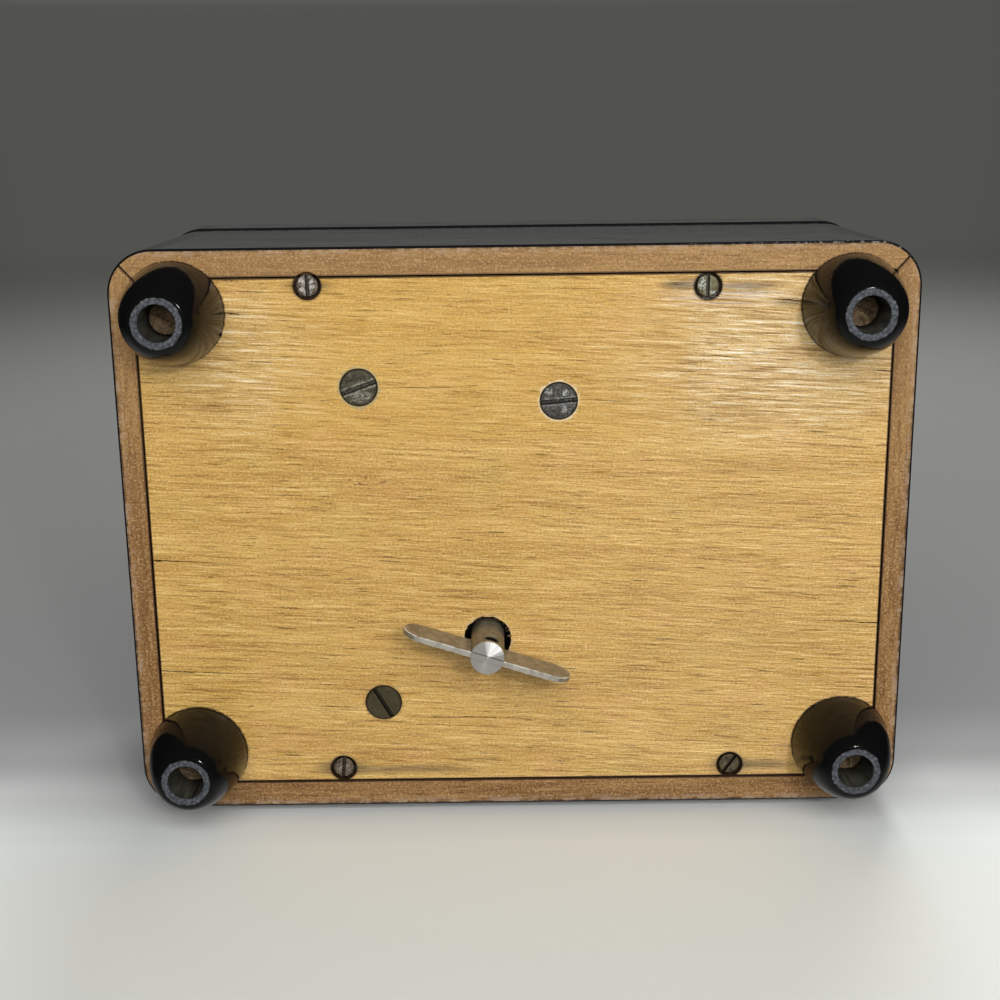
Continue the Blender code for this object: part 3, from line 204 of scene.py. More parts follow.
class Shader(Nodes):
    """A Principled material in the piece's own coordinates, painted coat by coat."""

    def __init__(self, name, colour, roughness, metallic=0.0):
        self.material = bpy.data.materials.new(name)
        self.material.use_nodes = True
        super().__init__(self.material.node_tree, "Object")
        self.surface = self.tree.nodes["Principled BSDF"]
        self.colour = colour
        self.set("Roughness", roughness)
        self.set("Metallic", metallic)

    def set(self, name, value):
        self.put(self.surface.inputs[name], value)

    def stretched(self, scale, rotation=(0, 0, 0), offset=(0, 0, 0), place=None):
        return self.node("Mapping", {
            "Vector": place or self.place, "Location": offset,
            "Rotation": tuple(math.radians(angle) for angle in rotation), "Scale": scale,
        })

    def noise(self, vector, scale=1.0, detail=4.0, rough=0.55, distortion=0.0):
        return self.node("TexNoise", {
            "Vector": vector, "Scale": scale, "Detail": detail, "Roughness": rough, "Distortion": distortion,
        })

    def grain(self, scale, detail=4.0, rough=0.55, distortion=0.0, **placed):
        """Noise stretched along the axes; placed may give rotation, offset and place."""
        return self.noise(self.stretched(scale, **placed), 1.0, detail, rough, distortion)

    def ramp(self, value, *stops, interpolation="LINEAR"):
        """stops are (position, colour)."""
        made = self.tree.nodes.new("ShaderNodeValToRGB")
        made.color_ramp.interpolation = interpolation
        elements = made.color_ramp.elements
        while len(elements) < len(stops):
            elements.new(0.5)
        for element, (position, colour) in zip(elements, stops):
            element.position = position
            element.color = (*colour, 1)
        self.put(made.inputs["Fac"], value)
        return made.outputs["Color"]

    def math(self, operation, first, second=0.0):
        return self.node("Math", {0: first, 1: second}, operation=operation)

    def times(self, first, second):
        return self.math("MULTIPLY", first, second)

    def plus(self, first, second):
        return self.math("ADD", first, second)

    def minus(self, first, second):
        return self.math("SUBTRACT", first, second)

    def larger(self, first, second):
        return self.math("MAXIMUM", first, second)

    def vector(self, operation, first, second=(0, 0, 0)):
        return self.node("VectorMath", {0: first, 1: second}, output="Value", operation=operation)

    def from_axis(self):
        """Distance from the piece's upright axis."""
        return self.vector("LENGTH", self.stretched((1, 1, 0)))

    def spot(self, centre, reach, soft=0.6):
        """1 inside an ellipse on the XY plane, falling to 0 at its edge."""
        offset = (-centre[0] / reach[0], -centre[1] / reach[1], 0)
        length = self.vector("LENGTH", self.stretched((1 / reach[0], 1 / reach[1], 0), offset=offset))
        return self.band(length, 1.0, 1.0 - soft)

    def disc(self, place, radius, soft):
        return self.spot((place.x, place.y), (radius, radius), soft)

    def paint(self, share, colour, strength=None):
        """Lays a colour over the coats so far, where the share is above 0."""
        if strength is not None:
            share = self.times(share, strength)
        self.colour = self.mix(share, self.colour, colour)

    def tint(self, value, low, high, strength, colour):
        """Lays a colour where a value goes from low to high."""
        self.paint(self.band(value, low, high, 0.0, strength), colour)

    def finish(self, height, depth):
        """Puts the painted colour and the relief on the surface."""
        self.set("Base Color", self.colour)
        self.set("Normal", self.node("Bump", {"Height": height, "Distance": depth, "Strength": 1.0}))
        return self.material


def foot_contact_shade(shade, speck):
    """A thin dark ring round each foot: painted contact shadow where the foot meets the wood."""
    for corner in FOOT_SLOTS:
        foot = f"foot_{corner}"
        disc = shade.disc(middle(foot), half_width(foot) + 0.00028, 0.03)
        shade.paint(shade.times(disc, shade.band(speck, 0.34, 0.52, 0.45, 0.95)), (0.03, 0.014, 0.008))


def panel_wood():
    """Varnished veneer: fine grain along X, pores, stains by the screws and a field of warmer varnish;
    painted glare, glints and shade.
    """
    shade = Shader("panel_wood", (0.6, 0.36, 0.11), 0.4)
    turned = shade.stretched((1, 1, 1), (0, 0, -GRAIN_ANGLE))
    wander = shade.grain((12, 45, 1), 2.0, place=turned)
    sway = shade.node("CombineXYZ", {"Y": shade.times(shade.minus(wander, 0.5), 0.0022)})
    bent = shade.node("VectorMath", {0: turned, 1: sway}, operation="ADD")
    broad = shade.grain((14, 190, 1), 4.0, 0.6, place=bent)
    patches = shade.grain((70, 110, 1), 3.0, offset=(2, 9, 0))
    fibre = shade.grain((62, 1700, 1), 5.0, 0.66, place=bent)
    fine = shade.grain((170, 3300, 1), 3.0, 0.7, place=bent)
    pores = shade.grain((150, 2500, 1), 2.0, 0.5, offset=(3, 7, 0), place=bent)
    across = shade.grain((2300, 2300, 1), 3.0, 0.7)
    # Painted glare: a lighter field towards the front right and a faint one towards the front left stand in
    # for the lamp's sheen on the varnish.
    faint_painted_glare = shade.times(shade.spot((-0.05, -0.036), (0.022, 0.02), 0.9), 0.6)
    painted_glare = shade.larger(shade.spot((0.048, -0.036), (0.04, 0.024), 0.9), faint_painted_glare)
    shade.colour = shade.ramp(broad, (0.3, (0.505, 0.276, 0.058)), (0.52, (0.625, 0.37, 0.088)),
                        (0.72, (0.73, 0.46, 0.134)))
    shade.tint(patches, 0.54, 0.72, 0.6, (0.675, 0.365, 0.118))
    shade.tint(patches, 0.46, 0.28, 0.5, (0.59, 0.4, 0.105))
    shade.paint(painted_glare, (0.74, 0.54, 0.25), 0.5)
    shade.tint(fibre, 0.5, 0.3, 1.0, (0.31, 0.15, 0.028))
    shade.tint(fibre, 0.54, 0.7, 0.8, (0.92, 0.65, 0.25))
    shade.tint(fine, 0.5, 0.72, 0.6, (0.93, 0.66, 0.25))
    shade.tint(pores, 0.38, 0.24, 0.85, (0.15, 0.072, 0.018))
    shade.tint(across, 0.5, 0.72, 0.7, (0.92, 0.65, 0.26))
    shade.tint(across, 0.5, 0.28, 0.7, (0.3, 0.148, 0.028))
    # Painted highlight on the ridges inside the glare field, and painted shade on the fibres between them.
    painted_glints = shade.times(painted_glare, shade.band(shade.plus(fine, fibre), 1.02, 1.2))
    shade.paint(painted_glints, (0.96, 0.88, 0.68), 0.85)
    glint_gap_shade = shade.times(painted_glare, shade.band(shade.plus(fine, fibre), 0.98, 0.84))
    shade.paint(glint_gap_shade, (0.33, 0.185, 0.06), 0.85)
    x, y, z = (shade.axis(index) for index in range(3))
    warmer = shade.times(shade.band(x, -0.0455, -0.0447), shade.band(x, 0.0325, 0.0317))
    warmer = shade.times(warmer, shade.band(y, -0.0195, -0.0206))
    shade.paint(warmer, (0.66, 0.375, 0.062), 0.22)
    streaks = shade.grain((30, 1900, 1), 3.0, 0.6, offset=(5, 2, 0))
    for centre, reach, strength in STAINS:
        spot = shade.spot([value / 1000 for value in centre], [value / 1000 for value in reach], 0.85)
        mask = shade.times(spot, shade.band(streaks, 0.3, 0.6, 0.4, 1.0))
        shade.paint(mask, (0.07, 0.048, 0.024), strength)
    speck = shade.grain((900, 900, 1), 2.0)
    smear = shade.times(shade.spot((-0.029, -0.0124), (0.0125, 0.0016), 0.5),
                       shade.band(speck, 0.56, 0.66))
    shade.paint(smear, (0.16, 0.08, 0.02), 0.7)
    for name in MOVEMENT_SLOTS:
        tone, strength = RINGS[name]
        rim = shade.disc(middle(name), 0.0046, 0.24)
        ragged = shade.times(shade.minus(speck, 0.55), 2.4)
        rim = shade.band(shade.plus(rim, ragged), 0.3, 0.75)
        shade.paint(rim, tone, strength)
    halo = shade.times(shade.disc(KEY, 0.0055, 0.2), shade.band(speck, 0.4, 0.6))
    shade.paint(halo, (0.61, 0.45, 0.31), 0.7)
    # Painted shade: the key hole's walls near black, and every wall going into the panel from the underside,
    # in seats, splits and hole, darkened.
    sunk = shade.band(z, UNDERSIDE + 0.00005, UNDERSIDE + 0.0003)
    deep = shade.times(shade.disc(KEY, 0.006, 0.1), sunk)
    shade.paint(deep, (0.008, 0.004, 0.004))
    recess_shade = shade.band(z, UNDERSIDE + 0.00004, UNDERSIDE + 0.00016, 0.0, 0.95)
    shade.paint(recess_shade, (0.04, 0.018, 0.008))
    bleached = shade.times(shade.spot((0.038, -0.0466), (0.015, 0.003), 0.8), shade.band(streaks, 0.44, 0.6))
    shade.paint(bleached, (0.64, 0.52, 0.44), 0.85)
    # Painted contact shadow round the feet.
    foot_contact_shade(shade, speck)
    for name in PANEL_SLOTS:
        shade.paint(shade.disc(middle(name), 0.0031, 0.22), (0.045, 0.024, 0.012), 0.88)
    sides = (
        shade.band(shade.math("ABSOLUTE", x), panel_high.x - 0.00028, panel_high.x - 0.00012),
        shade.band(y, panel_low.y + 0.00034, panel_low.y + 0.00016),
        shade.band(y, panel_high.y - 0.0003, panel_high.y - 0.00014),
    )
    for side in sides:
        shade.paint(side, (0.045, 0.022, 0.01), 0.9)
    shade.set("Roughness", shade.band(fine, 0.3, 0.7, 0.26, 0.34))
    shade.set("Specular IOR Level", 0.8)
    shade.set("Coat Weight", 0.6)
    shade.set("Coat Roughness", 0.22)
    ridges = shade.grain((190, 1500, 1), 3.0, 0.62, 0.2, offset=(1, 4, 0), place=bent)
    height = shade.plus(ridges, shade.times(fine, 0.3))
    height = shade.plus(height, shade.times(shade.band(pores, 0.36, 0.25), -0.3))
    height = shade.plus(height, shade.times(across, 0.12))
    return shade.finish(height, 0.0004)


def rail_wood(name, along_x):
    """Plain reddish hardwood with short pores and cross marks, scuffed and dirty towards the outer edge; the
    front lighter with painted light.
    """
    shade = Shader(name, (0.35, 0.18, 0.07), 0.55)
    turned = shade.stretched((1, 1, 1), (0, 0, 0 if along_x else 90))
    grain = shade.grain((130, 1700, 700), 4.0, 0.65, place=turned)
    broad = shade.grain((30, 330, 90), 4.0, place=turned)
    blotch = shade.grain((260, 420, 90), 4.0, 0.65, place=turned)
    speck = shade.noise(shade.place, 2300.0, 3.0, 0.6)
    shade.colour = shade.ramp(broad, (0.3, (0.2, 0.1, 0.03)), (0.52, (0.285, 0.15, 0.05)),
                        (0.74, (0.375, 0.21, 0.076)))
    shade.tint(grain, 0.5, 0.3, 0.9, (0.13, 0.058, 0.018))
    shade.tint(grain, 0.54, 0.7, 0.7, (0.47, 0.285, 0.12))
    shade.tint(blotch, 0.46, 0.3, 0.45, (0.17, 0.08, 0.03))
    shade.tint(speck, 0.53, 0.66, 0.75, (0.125, 0.056, 0.02))
    shade.tint(speck, 0.46, 0.34, 0.75, (0.5, 0.325, 0.16))
    edges = [
        (shade.math("ABSOLUTE", shade.axis(0)), HALF_X),
        (shade.math("ABSOLUTE", shade.minus(shade.axis(1), CASE_Y)), HALF_Y),
    ]
    scuff = shade.larger(*(shade.band(reach, limit - 0.002, limit - 0.0007) for reach, limit in edges))
    rim = shade.larger(*(shade.band(reach, limit - 0.0009, limit - 0.0005) for reach, limit in edges))
    dirt = shade.noise(shade.place, 520.0, 5.0, 0.65)
    shade.paint(shade.times(scuff, shade.band(dirt, 0.42, 0.62, 0.0, 0.65)), (0.38, 0.28, 0.205))
    shade.paint(shade.times(rim, shade.band(dirt, 0.58, 0.4, 0.1, 0.9)), (0.06, 0.034, 0.022))
    shares = [
        shade.math("DIVIDE", shade.minus(HALF_X, edges[0][0]), SIDE_WALL),
        shade.math("DIVIDE", shade.minus(HALF_Y, edges[1][0]), LONG_WALL),
    ]
    mitre = shade.math("ABSOLUTE", shade.minus(*shares))
    mitre = shade.plus(mitre, shade.times(shade.minus(dirt, 0.5), 0.1))
    shade.tint(mitre, 0.105, 0.075, 0.9, (0.03, 0.014, 0.008))
    joint = shade.math("MINIMUM", *shares)
    joint = shade.plus(joint, shade.times(shade.minus(dirt, 0.5), 0.05))
    shade.tint(joint, 0.945, 0.975, 0.92, (0.034, 0.015, 0.008))
    # Painted light: the front rail is lighter, as the light falls from the front.
    front = shade.band(shade.axis(1), 0.0, -0.045)
    shade.paint(front, (0.56, 0.35, 0.15), 0.2)
    # Painted contact shadow round the feet.
    foot_contact_shade(shade, speck)
    painted = shade.band(shade.axis(2), UNDERSIDE + 0.012, UNDERSIDE + 0.014)
    shade.paint(painted, (0.008, 0.008, 0.009))
    height = shade.plus(grain, shade.times(speck, 0.5))
    return shade.finish(shade.plus(height, shade.times(blotch, 0.5)), 0.00016)


def lacquer(name, chips=False):
    """Black gloss lacquer with faint waves, dust and hairlines; chips show the ground by the lower edge."""
    gloss = 0.07
    shade = Shader(name, (0.008, 0.008, 0.009), gloss)
    dust = shade.noise(shade.place, 2600.0, 2.0)
    hair = shade.grain((900, 60, 60), 3.0, rotation=(20, 35, 50))
    waves = shade.noise(shade.place, 90.0, 2.0)
    shade.tint(dust, 0.72, 0.8, 0.5, (0.06, 0.058, 0.052))
    rough = shade.plus(shade.band(hair, 0.45, 0.75, gloss, gloss + 0.1), shade.band(dust, 0.6, 0.8, 0.0, 0.2))
    if chips:
        low = shade.band(shade.axis(2), UNDERSIDE + 0.0012, UNDERSIDE + 0.0003)
        flake = shade.noise(shade.place, 1300.0, 3.0, 0.6)
        corner = shade.spot((HALF_X - 0.012, CASE_Y - HALF_Y + 0.003), (0.02, 0.012), 0.7)
        limit = shade.times(corner, 0.16)
        mask = shade.times(low, shade.band(shade.plus(flake, limit), 0.72, 0.78))
        shade.paint(mask, (0.17, 0.14, 0.12))
        rough = shade.plus(rough, shade.times(mask, 0.5))
    shade.set("Roughness", rough)
    return shade.finish(shade.plus(waves, shade.times(dust, 0.02)), 0.00006)


def foot_lacquer():
    """Black lacquer, rubbed to a dull blue grey on the tip ring and grey green inside the bore."""
    shade = Shader("foot_lacquer", (0.004, 0.004, 0.004), 0.05)
    radius = shade.from_axis()
    height = shade.axis(2)
    rub = shade.noise(shade.place, 1500.0, 4.0, 0.65)
    ragged = shade.noise(shade.place, 900.0, 3.0)
    spots = shade.noise(shade.place, 4200.0, 2.0)
    run = shade.grain((600, 600, 90), 4.0)
    edge = shade.plus(radius, shade.times(shade.minus(ragged, 0.5), 0.0007))
    tip = shade.times(shade.band(edge, 0.00468, 0.00448), shade.band(height, 0.0009, 0.0006))
    inside = shade.times(shade.band(radius, 0.00352, 0.00345), shade.band(height, 0.00015, 0.0005))
    worn = shade.ramp(rub, (0.34, (0.022, 0.024, 0.028)), (0.52, (0.066, 0.072, 0.082)),
                      (0.7, (0.15, 0.158, 0.172)))
    worn = shade.mix(shade.band(spots, 0.6, 0.74, 0.0, 0.6), worn, (0.3, 0.31, 0.32))
    shade.tint(spots, 0.7, 0.8, 0.25, (0.05, 0.04, 0.028))
    shade.paint(tip, worn)
    shade.paint(inside, shade.ramp(run, (0.32, (0.006, 0.006, 0.005)), (0.68, (0.048, 0.047, 0.036))))
    dull = shade.larger(tip, inside)
    rough = shade.larger(dull, shade.band(height, 0.0131, 0.0137))
    shade.set("Roughness", shade.band(rough, 0.0, 1.0, 0.12, 0.55))
    shade.set("Specular IOR Level", 0.25)
    waves = shade.noise(shade.place, 160.0, 3.0)
    return shade.finish(shade.plus(shade.times(rub, dull), shade.times(waves, 0.9)), 0.00014)


def screw_metal(name, base, dark, light, node=None, burr=0.0, metallic=0.35, roughness=0.45):
    """Tarnished steel with pits; a named screw gets its bright marks, burred slot edges and a slot darkened
    with painted shade.
    """
    shade = Shader(name, base, roughness, metallic)
    cloud = shade.noise(shade.place, 900.0, 4.0, 0.65)
    pit = shade.noise(shade.place, 3300.0, 3.0, 0.65)
    scratch = shade.grain((3600, 300, 300), 2.0, rotation=(0, 0, 35))
    shade.paint(shade.band(cloud, 0.58, 0.36), dark)
    shade.tint(pit, 0.48, 0.34, 0.8, darker(dark, 0.5))
    shade.tint(pit, 0.54, 0.68, 0.45, light)
    shade.tint(scratch, 0.66, 0.76, 0.35, light)
    height = shade.plus(pit, shade.times(cloud, 0.8))
    if node:
        place = screw_place(node)
        radius = half_width(node)
        flake = shade.grain((2900, 2900, 100), 4.0, 0.7, offset=(4, 1, 0))
        for (x, y), (reach_x, reach_y), strength in MARKS[node]:
            spot = shade.spot((place.x + x / 1000, place.y + y / 1000), (reach_x / 1000, reach_y / 1000), 0.8)
            edge = shade.times(spot, shade.band(flake, 0.38, 0.58, 0.0, 1.6))
            mask = shade.times(shade.band(edge, 0.3, 0.8), strength)
            shade.paint(mask, light)
            height = shade.plus(height, mask)
        turn = math.radians(SLOT_ANGLES[node])
        aside = Vector((-math.sin(turn), math.cos(turn), 0))
        slot = radius * SLOT_SHARES[node] / 2
        offset = shade.vector("DOT_PRODUCT", shade.place, tuple(aside))
        offset = shade.math("ABSOLUTE", shade.minus(offset, aside.dot(place)))
        edge = shade.times(shade.band(offset, slot * 2.3, slot * 1.5), shade.band(flake, 0.4, 0.56))
        shade.paint(edge, light, burr)
        # Painted shade in the slot: darkest by its walls, lighter along its middle.
        inside = shade.band(offset, slot * 0.4, slot * 0.8, 0.62, 0.97)
        depth = shade.band(shade.axis(2), place.z + 0.00008, place.z + 0.00025)
        shade.paint(shade.times(depth, inside), darker(dark, 0.1))
        shade.paint(shade.minus(1.0, shade.disc(place, radius, 0.14)), darker(dark, 0.4), 0.75)
    shade.set("Roughness", shade.band(cloud, 0.35, 0.65, roughness * 0.8, roughness * 1.3))
    return shade.finish(height, 0.00007)


def nickel(name, radial=False, rubbed=False):
    """Worn nickel plate with painted light: the end face lit and other faces a painted reflection of the
    wood; the turned stem gets painted radial sheen, a painted highlight and painted shade in its recesses,
    and rubbed gives a bright painted highlight.
    """
    shade = Shader(name, (0.62, 0.6, 0.55), 0.34, 0.4)
    brush_scale = (1500, 1500, 300) if radial else (2600, 160, 160)
    brush = shade.grain(brush_scale, 3.0, rotation=(0, 0, KEY_ANGLE + 90))
    cloud = shade.noise(shade.place, 700.0, 4.0, 0.6)
    pit = shade.noise(shade.place, 3800.0, 2.0)
    # Painted light: the end face takes a lit grey tone, and every other face a brownish tone that stands in
    # for the wood's reflection.
    face = shade.band(shade.axis(2), stem_low.z + 0.00045, stem_low.z + 0.0002)
    bright = shade.mix(shade.band(cloud, 0.38, 0.68), (0.56, 0.53, 0.45), (0.4, 0.37, 0.29))
    dull = shade.mix(shade.band(cloud, 0.38, 0.68), (0.31, 0.27, 0.19), (0.18, 0.15, 0.1))
    shade.colour = shade.mix(face, dull, bright)
    # Painted highlight: with rubbed set, the whole tone is a bright painted highlight for the wing's bevelled
    # edges.
    if rubbed:
        shade.colour = shade.mix(shade.band(cloud, 0.4, 0.66), (0.95, 0.93, 0.89), (0.5, 0.47, 0.4))
    shade.tint(pit, 0.34, 0.24, 0.7, (0.06, 0.05, 0.04))
    shade.set("Roughness", shade.band(brush, 0.3, 0.7, 0.3, 0.42))
    if radial:
        # Painted light: radial streaks of sheen over the end face and a bright painted highlight in a sector
        # towards +X and -Y.
        outward = shade.node("VectorMath", {0: shade.stretched((1, 1, 0))}, operation="NORMALIZE")
        fan_highlight = shade.vector("DOT_PRODUCT", outward, (0.57, -0.82, 0))
        ray_sheen = shade.noise(outward, 7.0, 3.0, 0.7)
        fan_highlight = shade.times(shade.band(fan_highlight, 0.66, 0.92), shade.band(ray_sheen, 0.4, 0.56, 0.1, 1.0))
        fan_highlight = shade.times(fan_highlight, face)
        shade.paint(face, shade.mix(ray_sheen, (0.36, 0.35, 0.31), (0.52, 0.5, 0.46)))
        shade.paint(fan_highlight, (0.98, 0.97, 0.94))
        # Painted shade darkens the slot and holes inside the stem.
        sunk = shade.band(shade.axis(2), stem_low.z + 0.0001, stem_low.z + 0.0002)
        stem_recess_shade = shade.times(shade.band(shade.from_axis(), 0.00305, 0.0029), sunk)
        shade.paint(stem_recess_shade, (0.012, 0.01, 0.008))
        shade.set("Metallic", shade.band(fan_highlight, 0.0, 1.0, 0.45, 0.05))
        shade.set("Anisotropic", 0.85)
        shade.set("Anisotropic Rotation", 0.25)
        shade.set("Tangent", shade.node("Tangent", direction_type="RADIAL", axis="Z"))
    return shade.finish(brush, 0.00001)


def plain_metal(name, colour, roughness=0.28, brush=(1500, 80, 80)):
    """Metal with brush lines and duller clouds."""
    shade = Shader(name, colour, roughness, 1.0)
    lines = shade.grain(brush, 3.0)
    cloud = shade.noise(shade.place, 260.0, 3.0)
    shade.tint(cloud, 0.45, 0.75, 0.6, darker(colour, 0.6))
    shade.set("Roughness", shade.band(lines, 0.3, 0.7, roughness * 0.8, roughness * 1.4))
    return shade.finish(lines, 0.00003)


def velvet(name):
    """Short pile: soft sheen, brushed patches and fine fibres."""
    colour = (0.16, 0.008, 0.016)
    shade = Shader(name, colour, 0.95)
    pile = shade.noise(shade.place, 4200.0, 2.0)
    brushed = shade.grain((45, 70, 45), 3.0, 0.6, 0.4, rotation=(0, 0, 20))
    bright = tuple(value * 1.9 + 0.01 for value in colour)
    shade.colour = shade.ramp(brushed, (0.32, darker(colour, 0.45)), (0.52, colour), (0.72, bright))
    shade.tint(pile, 0.5, 0.7, 0.35, bright)
    shade.set("Sheen Weight", 0.6)
    shade.set("Sheen Roughness", 0.4)
    shade.set("Sheen Tint", (0.9, 0.35, 0.4))
    shade.set("Specular IOR Level", 0.1)
    return shade.finish(shade.plus(pile, shade.times(brushed, 2.0)), 0.00025)


def bare_wood(name):
    """Unfinished wood with its grain along X."""
    shade = Shader(name, (0.45, 0.29, 0.14), 0.7)
    grain = shade.grain((40, 1100, 1100), 4.0, 0.6)
    stops = ((0.3, (0.3, 0.18, 0.08)), (0.6, (0.5, 0.33, 0.16)), (0.8, (0.6, 0.42, 0.22)))
    shade.colour = shade.ramp(grain, *stops)
    return shade.finish(grain, 0.0001)


MATERIALS = {
    "panel": panel_wood(),
    "rail_x": rail_wood("rail_wood_long", True),
    "rail_y": rail_wood("rail_wood_short", False),
    "skin": lacquer("case_lacquer", chips=True),
    "lid": lacquer("lid_lacquer"),
    "foot": foot_lacquer(),
    "foot_screw": screw_metal("rusty_screw", (0.19, 0.13, 0.072), (0.07, 0.042, 0.022), (0.42, 0.32, 0.2),
                              metallic=0.1, roughness=0.7),
    "stem": nickel("nickel_turned", radial=True),
    "wing": nickel("nickel_flat"),
    "wing_edge": nickel("nickel_highlit_edge", rubbed=True),
    "brass": plain_metal("brass_plain", (0.62, 0.42, 0.16)),
    "steel": plain_metal("steel_ground", (0.52, 0.53, 0.54)),
    "blue_steel": plain_metal("steel_blued", (0.09, 0.11, 0.17)),
    "zinc": plain_metal("zinc_cast", (0.085, 0.08, 0.072), 0.6, (900, 900, 900)),
    "velvet": velvet("velvet_lining"),
    "bare": bare_wood("bare_wood"),
}
for node, (base, dark, light, burr, rough) in SCREW_METALS.items():
    MATERIALS[node] = screw_metal(f"{node}_metal", base, dark, light, node, burr, roughness=rough)


def shade_mesh(mesh, smooth):
    mesh.shade_smooth()
    mesh.set_sharp_from_angle(angle=math.radians(smooth))


def to_object(name, bm, materials=(), smooth=35.0):
    """Several materials are set by the faces' own material index."""
    bmesh.ops.recalc_face_normals(bm, faces=bm.faces)
    mesh = bpy.data.meshes.new(name)
    bm.to_mesh(mesh)
    bm.free()
    shade_mesh(mesh, smooth)
    made = bpy.data.objects.new(name, mesh)
    for key in materials:
        mesh.materials.append(MATERIALS[key])
    bpy.context.scene.collection.objects.link(made)
    return made


def dress(made, body, slot, *nodes):
    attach(made, body)
    if nodes:
        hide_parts(*nodes)
    return made


def carve(made, cutters, smooth=35.0):
    """Takes the cutters' shapes out of the object and deletes them."""
    for cutter in cutters:
        modifier = made.modifiers.new(cutter.name, "BOOLEAN")
        modifier.operation = "DIFFERENCE"
        modifier.solver = "EXACT"
        modifier.object = cutter
    bpy.context.view_layer.update()
    evaluated = made.evaluated_get(bpy.context.evaluated_depsgraph_get())
    mesh = bpy.data.meshes.new_from_object(evaluated)
    made.modifiers.clear()
    made.data = mesh
    shade_mesh(mesh, smooth)
    for cutter in cutters:
        bpy.data.objects.remove(cutter, do_unlink=True)


def bridge(bm, rings, closed=False, caps=True):
    """Faces between neighbouring rings of vertices, span by span; a ring may be a single point."""
    spans = []
    for first, second in zip(rings, rings[1:] + rings[:1] if closed else rings[1:]):
        count = max(len(first), len(second))
        span = []
        for step in range(count):
            following = (step + 1) % count
            if len(first) == 1:
                corners = (first[0], second[following], second[step])
            elif len(second) == 1:
                corners = (first[step], first[following], second[0])
            else:
                corners = (first[step], first[following], second[following], second[step])
            span.append(bm.faces.new(corners))
        spans.append(span)
    if caps and not closed:
        bm.faces.new(rings[0])
        bm.faces.new(rings[-1])
    return spans


def circle(radius, steps):
    """Points round the origin, evenly spaced."""
    turns = (2 * math.pi * step / steps for step in range(steps))
    return [Vector((radius * math.cos(turn), radius * math.sin(turn))) for turn in turns]


def quarter(steps):
    """How far a rounded edge has come in and gone on, step by step, as shares of its radius."""
    turns = (math.pi / 2 * step / steps for step in range(1, steps + 1))
    return [(1 - math.cos(turn), 1 - math.sin(turn)) for turn in turns]


def lathe(name, profile, place, steps, material, smooth=35.0):
    """A profile of (radius, height) turned about the vertical, closed unless an end lies on the axis."""
    bm = bmesh.new()
    rings = []
    for radius, height in profile:
        points = circle(radius, steps) if radius > 1e-6 else [Vector((0, 0))]
        rings.append([bm.verts.new((place[0] + x, place[1] + y, height)) for x, y in points])
    bridge(bm, rings, closed=len(rings[0]) > 1 and len(rings[-1]) > 1, caps=False)
    return to_object(name, bm, [material], smooth)


def rounded_rectangle(half_x, half_y, radius, steps=12, parts=48):
    """Points round a rectangle with rounded corners, its straight sides divided evenly."""
    points = []
    for turn in range(4):
        across, along = (half_x, half_y) if turn % 2 == 0 else (half_y, half_x)
        centre = Vector((across - radius, along - radius))
        corner = []
        for step in range(steps + 1):
            angle = math.pi / 2 * step / steps
            corner.append(centre + radius * Vector((math.cos(angle), math.sin(angle))))
        start = Vector((across, -(along - radius)))
        side = [start + Vector((0, 2 * (along - radius) * step / parts)) for step in range(1, parts)]
        for point in side + corner:
            for _ in range(turn):
                point = Vector((-point.y, point.x))
            points.append(point)
    return points


def stack(name, loops, material, closed=False, smooth=35.0):
    """Bridges loops of (points, height) with equal counts; heights may be one number or one per point."""
    bm = bmesh.new()
    rings = []
    for points, heights in loops:
        if not isinstance(heights, list):
            heights = [heights] * len(points)
        rings.append([bm.verts.new((x, y + CASE_Y, z)) for (x, y), z in zip(points, heights)])
    bridge(bm, rings, closed)
    return to_object(name, bm, [material], smooth)


def box_object(name, low, high):
    bm = bmesh.new()
    bmesh.ops.create_cube(bm, size=1)
    size = Vector(high) - Vector(low)
    centre = (Vector(high) + Vector(low)) / 2
    bmesh.ops.transform(bm, matrix=Matrix.Translation(centre) @ Matrix.Diagonal((*size, 1)), verts=bm.verts)
    return to_object(name, bm)


def rod_object(name, start, end, radius, steps):
    bm = bmesh.new()
    start, end = Vector(start), Vector(end)
    along = end - start
    size = {"radius1": radius, "radius2": radius, "depth": along.length}
    bmesh.ops.create_cone(bm, cap_ends=True, segments=steps, **size)
    turn = along.to_track_quat("Z", "Y").to_matrix().to_4x4()
    bmesh.ops.transform(bm, matrix=Matrix.Translation((start + end) / 2) @ turn, verts=bm.verts)
    return to_object(name, bm)


def screw_seats(names, radius, depth, steps):
    """Cutters for the sunk seats of screws in the underside."""
    seats = []
    for name in names:
        place = middle(name)
        start = (place.x, place.y, UNDERSIDE - 0.001)
        seats.append(rod_object(name + "_seat", start, (place.x, place.y, UNDERSIDE + depth), radius, steps))
    return seats


def panel_screw_seats(names):
    return screw_seats(names, 0.00262, 0.0018, 48)


def hinge_notches():
    """Cutters for the places that the hinges take in the back wall and the lid."""
    made = []
    reach = 0.0002
    for side in ("left", "right"):
        low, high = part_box(f"hinge_{side}_case_leaf")
        axis = middle(f"hinge_{side}_pin")
        start, end = low.x - reach, high.x + reach
        made.append(box_object(f"seat_{side}", (start, low.y - reach, wall_top - 0.001),
                               (end, axis.y + 0.003, lid_bottom + 0.001)))
        made.append(rod_object(f"notch_{side}", (start, axis.y, axis.z), (end, axis.y, axis.z), 0.0016, 32))
    return made


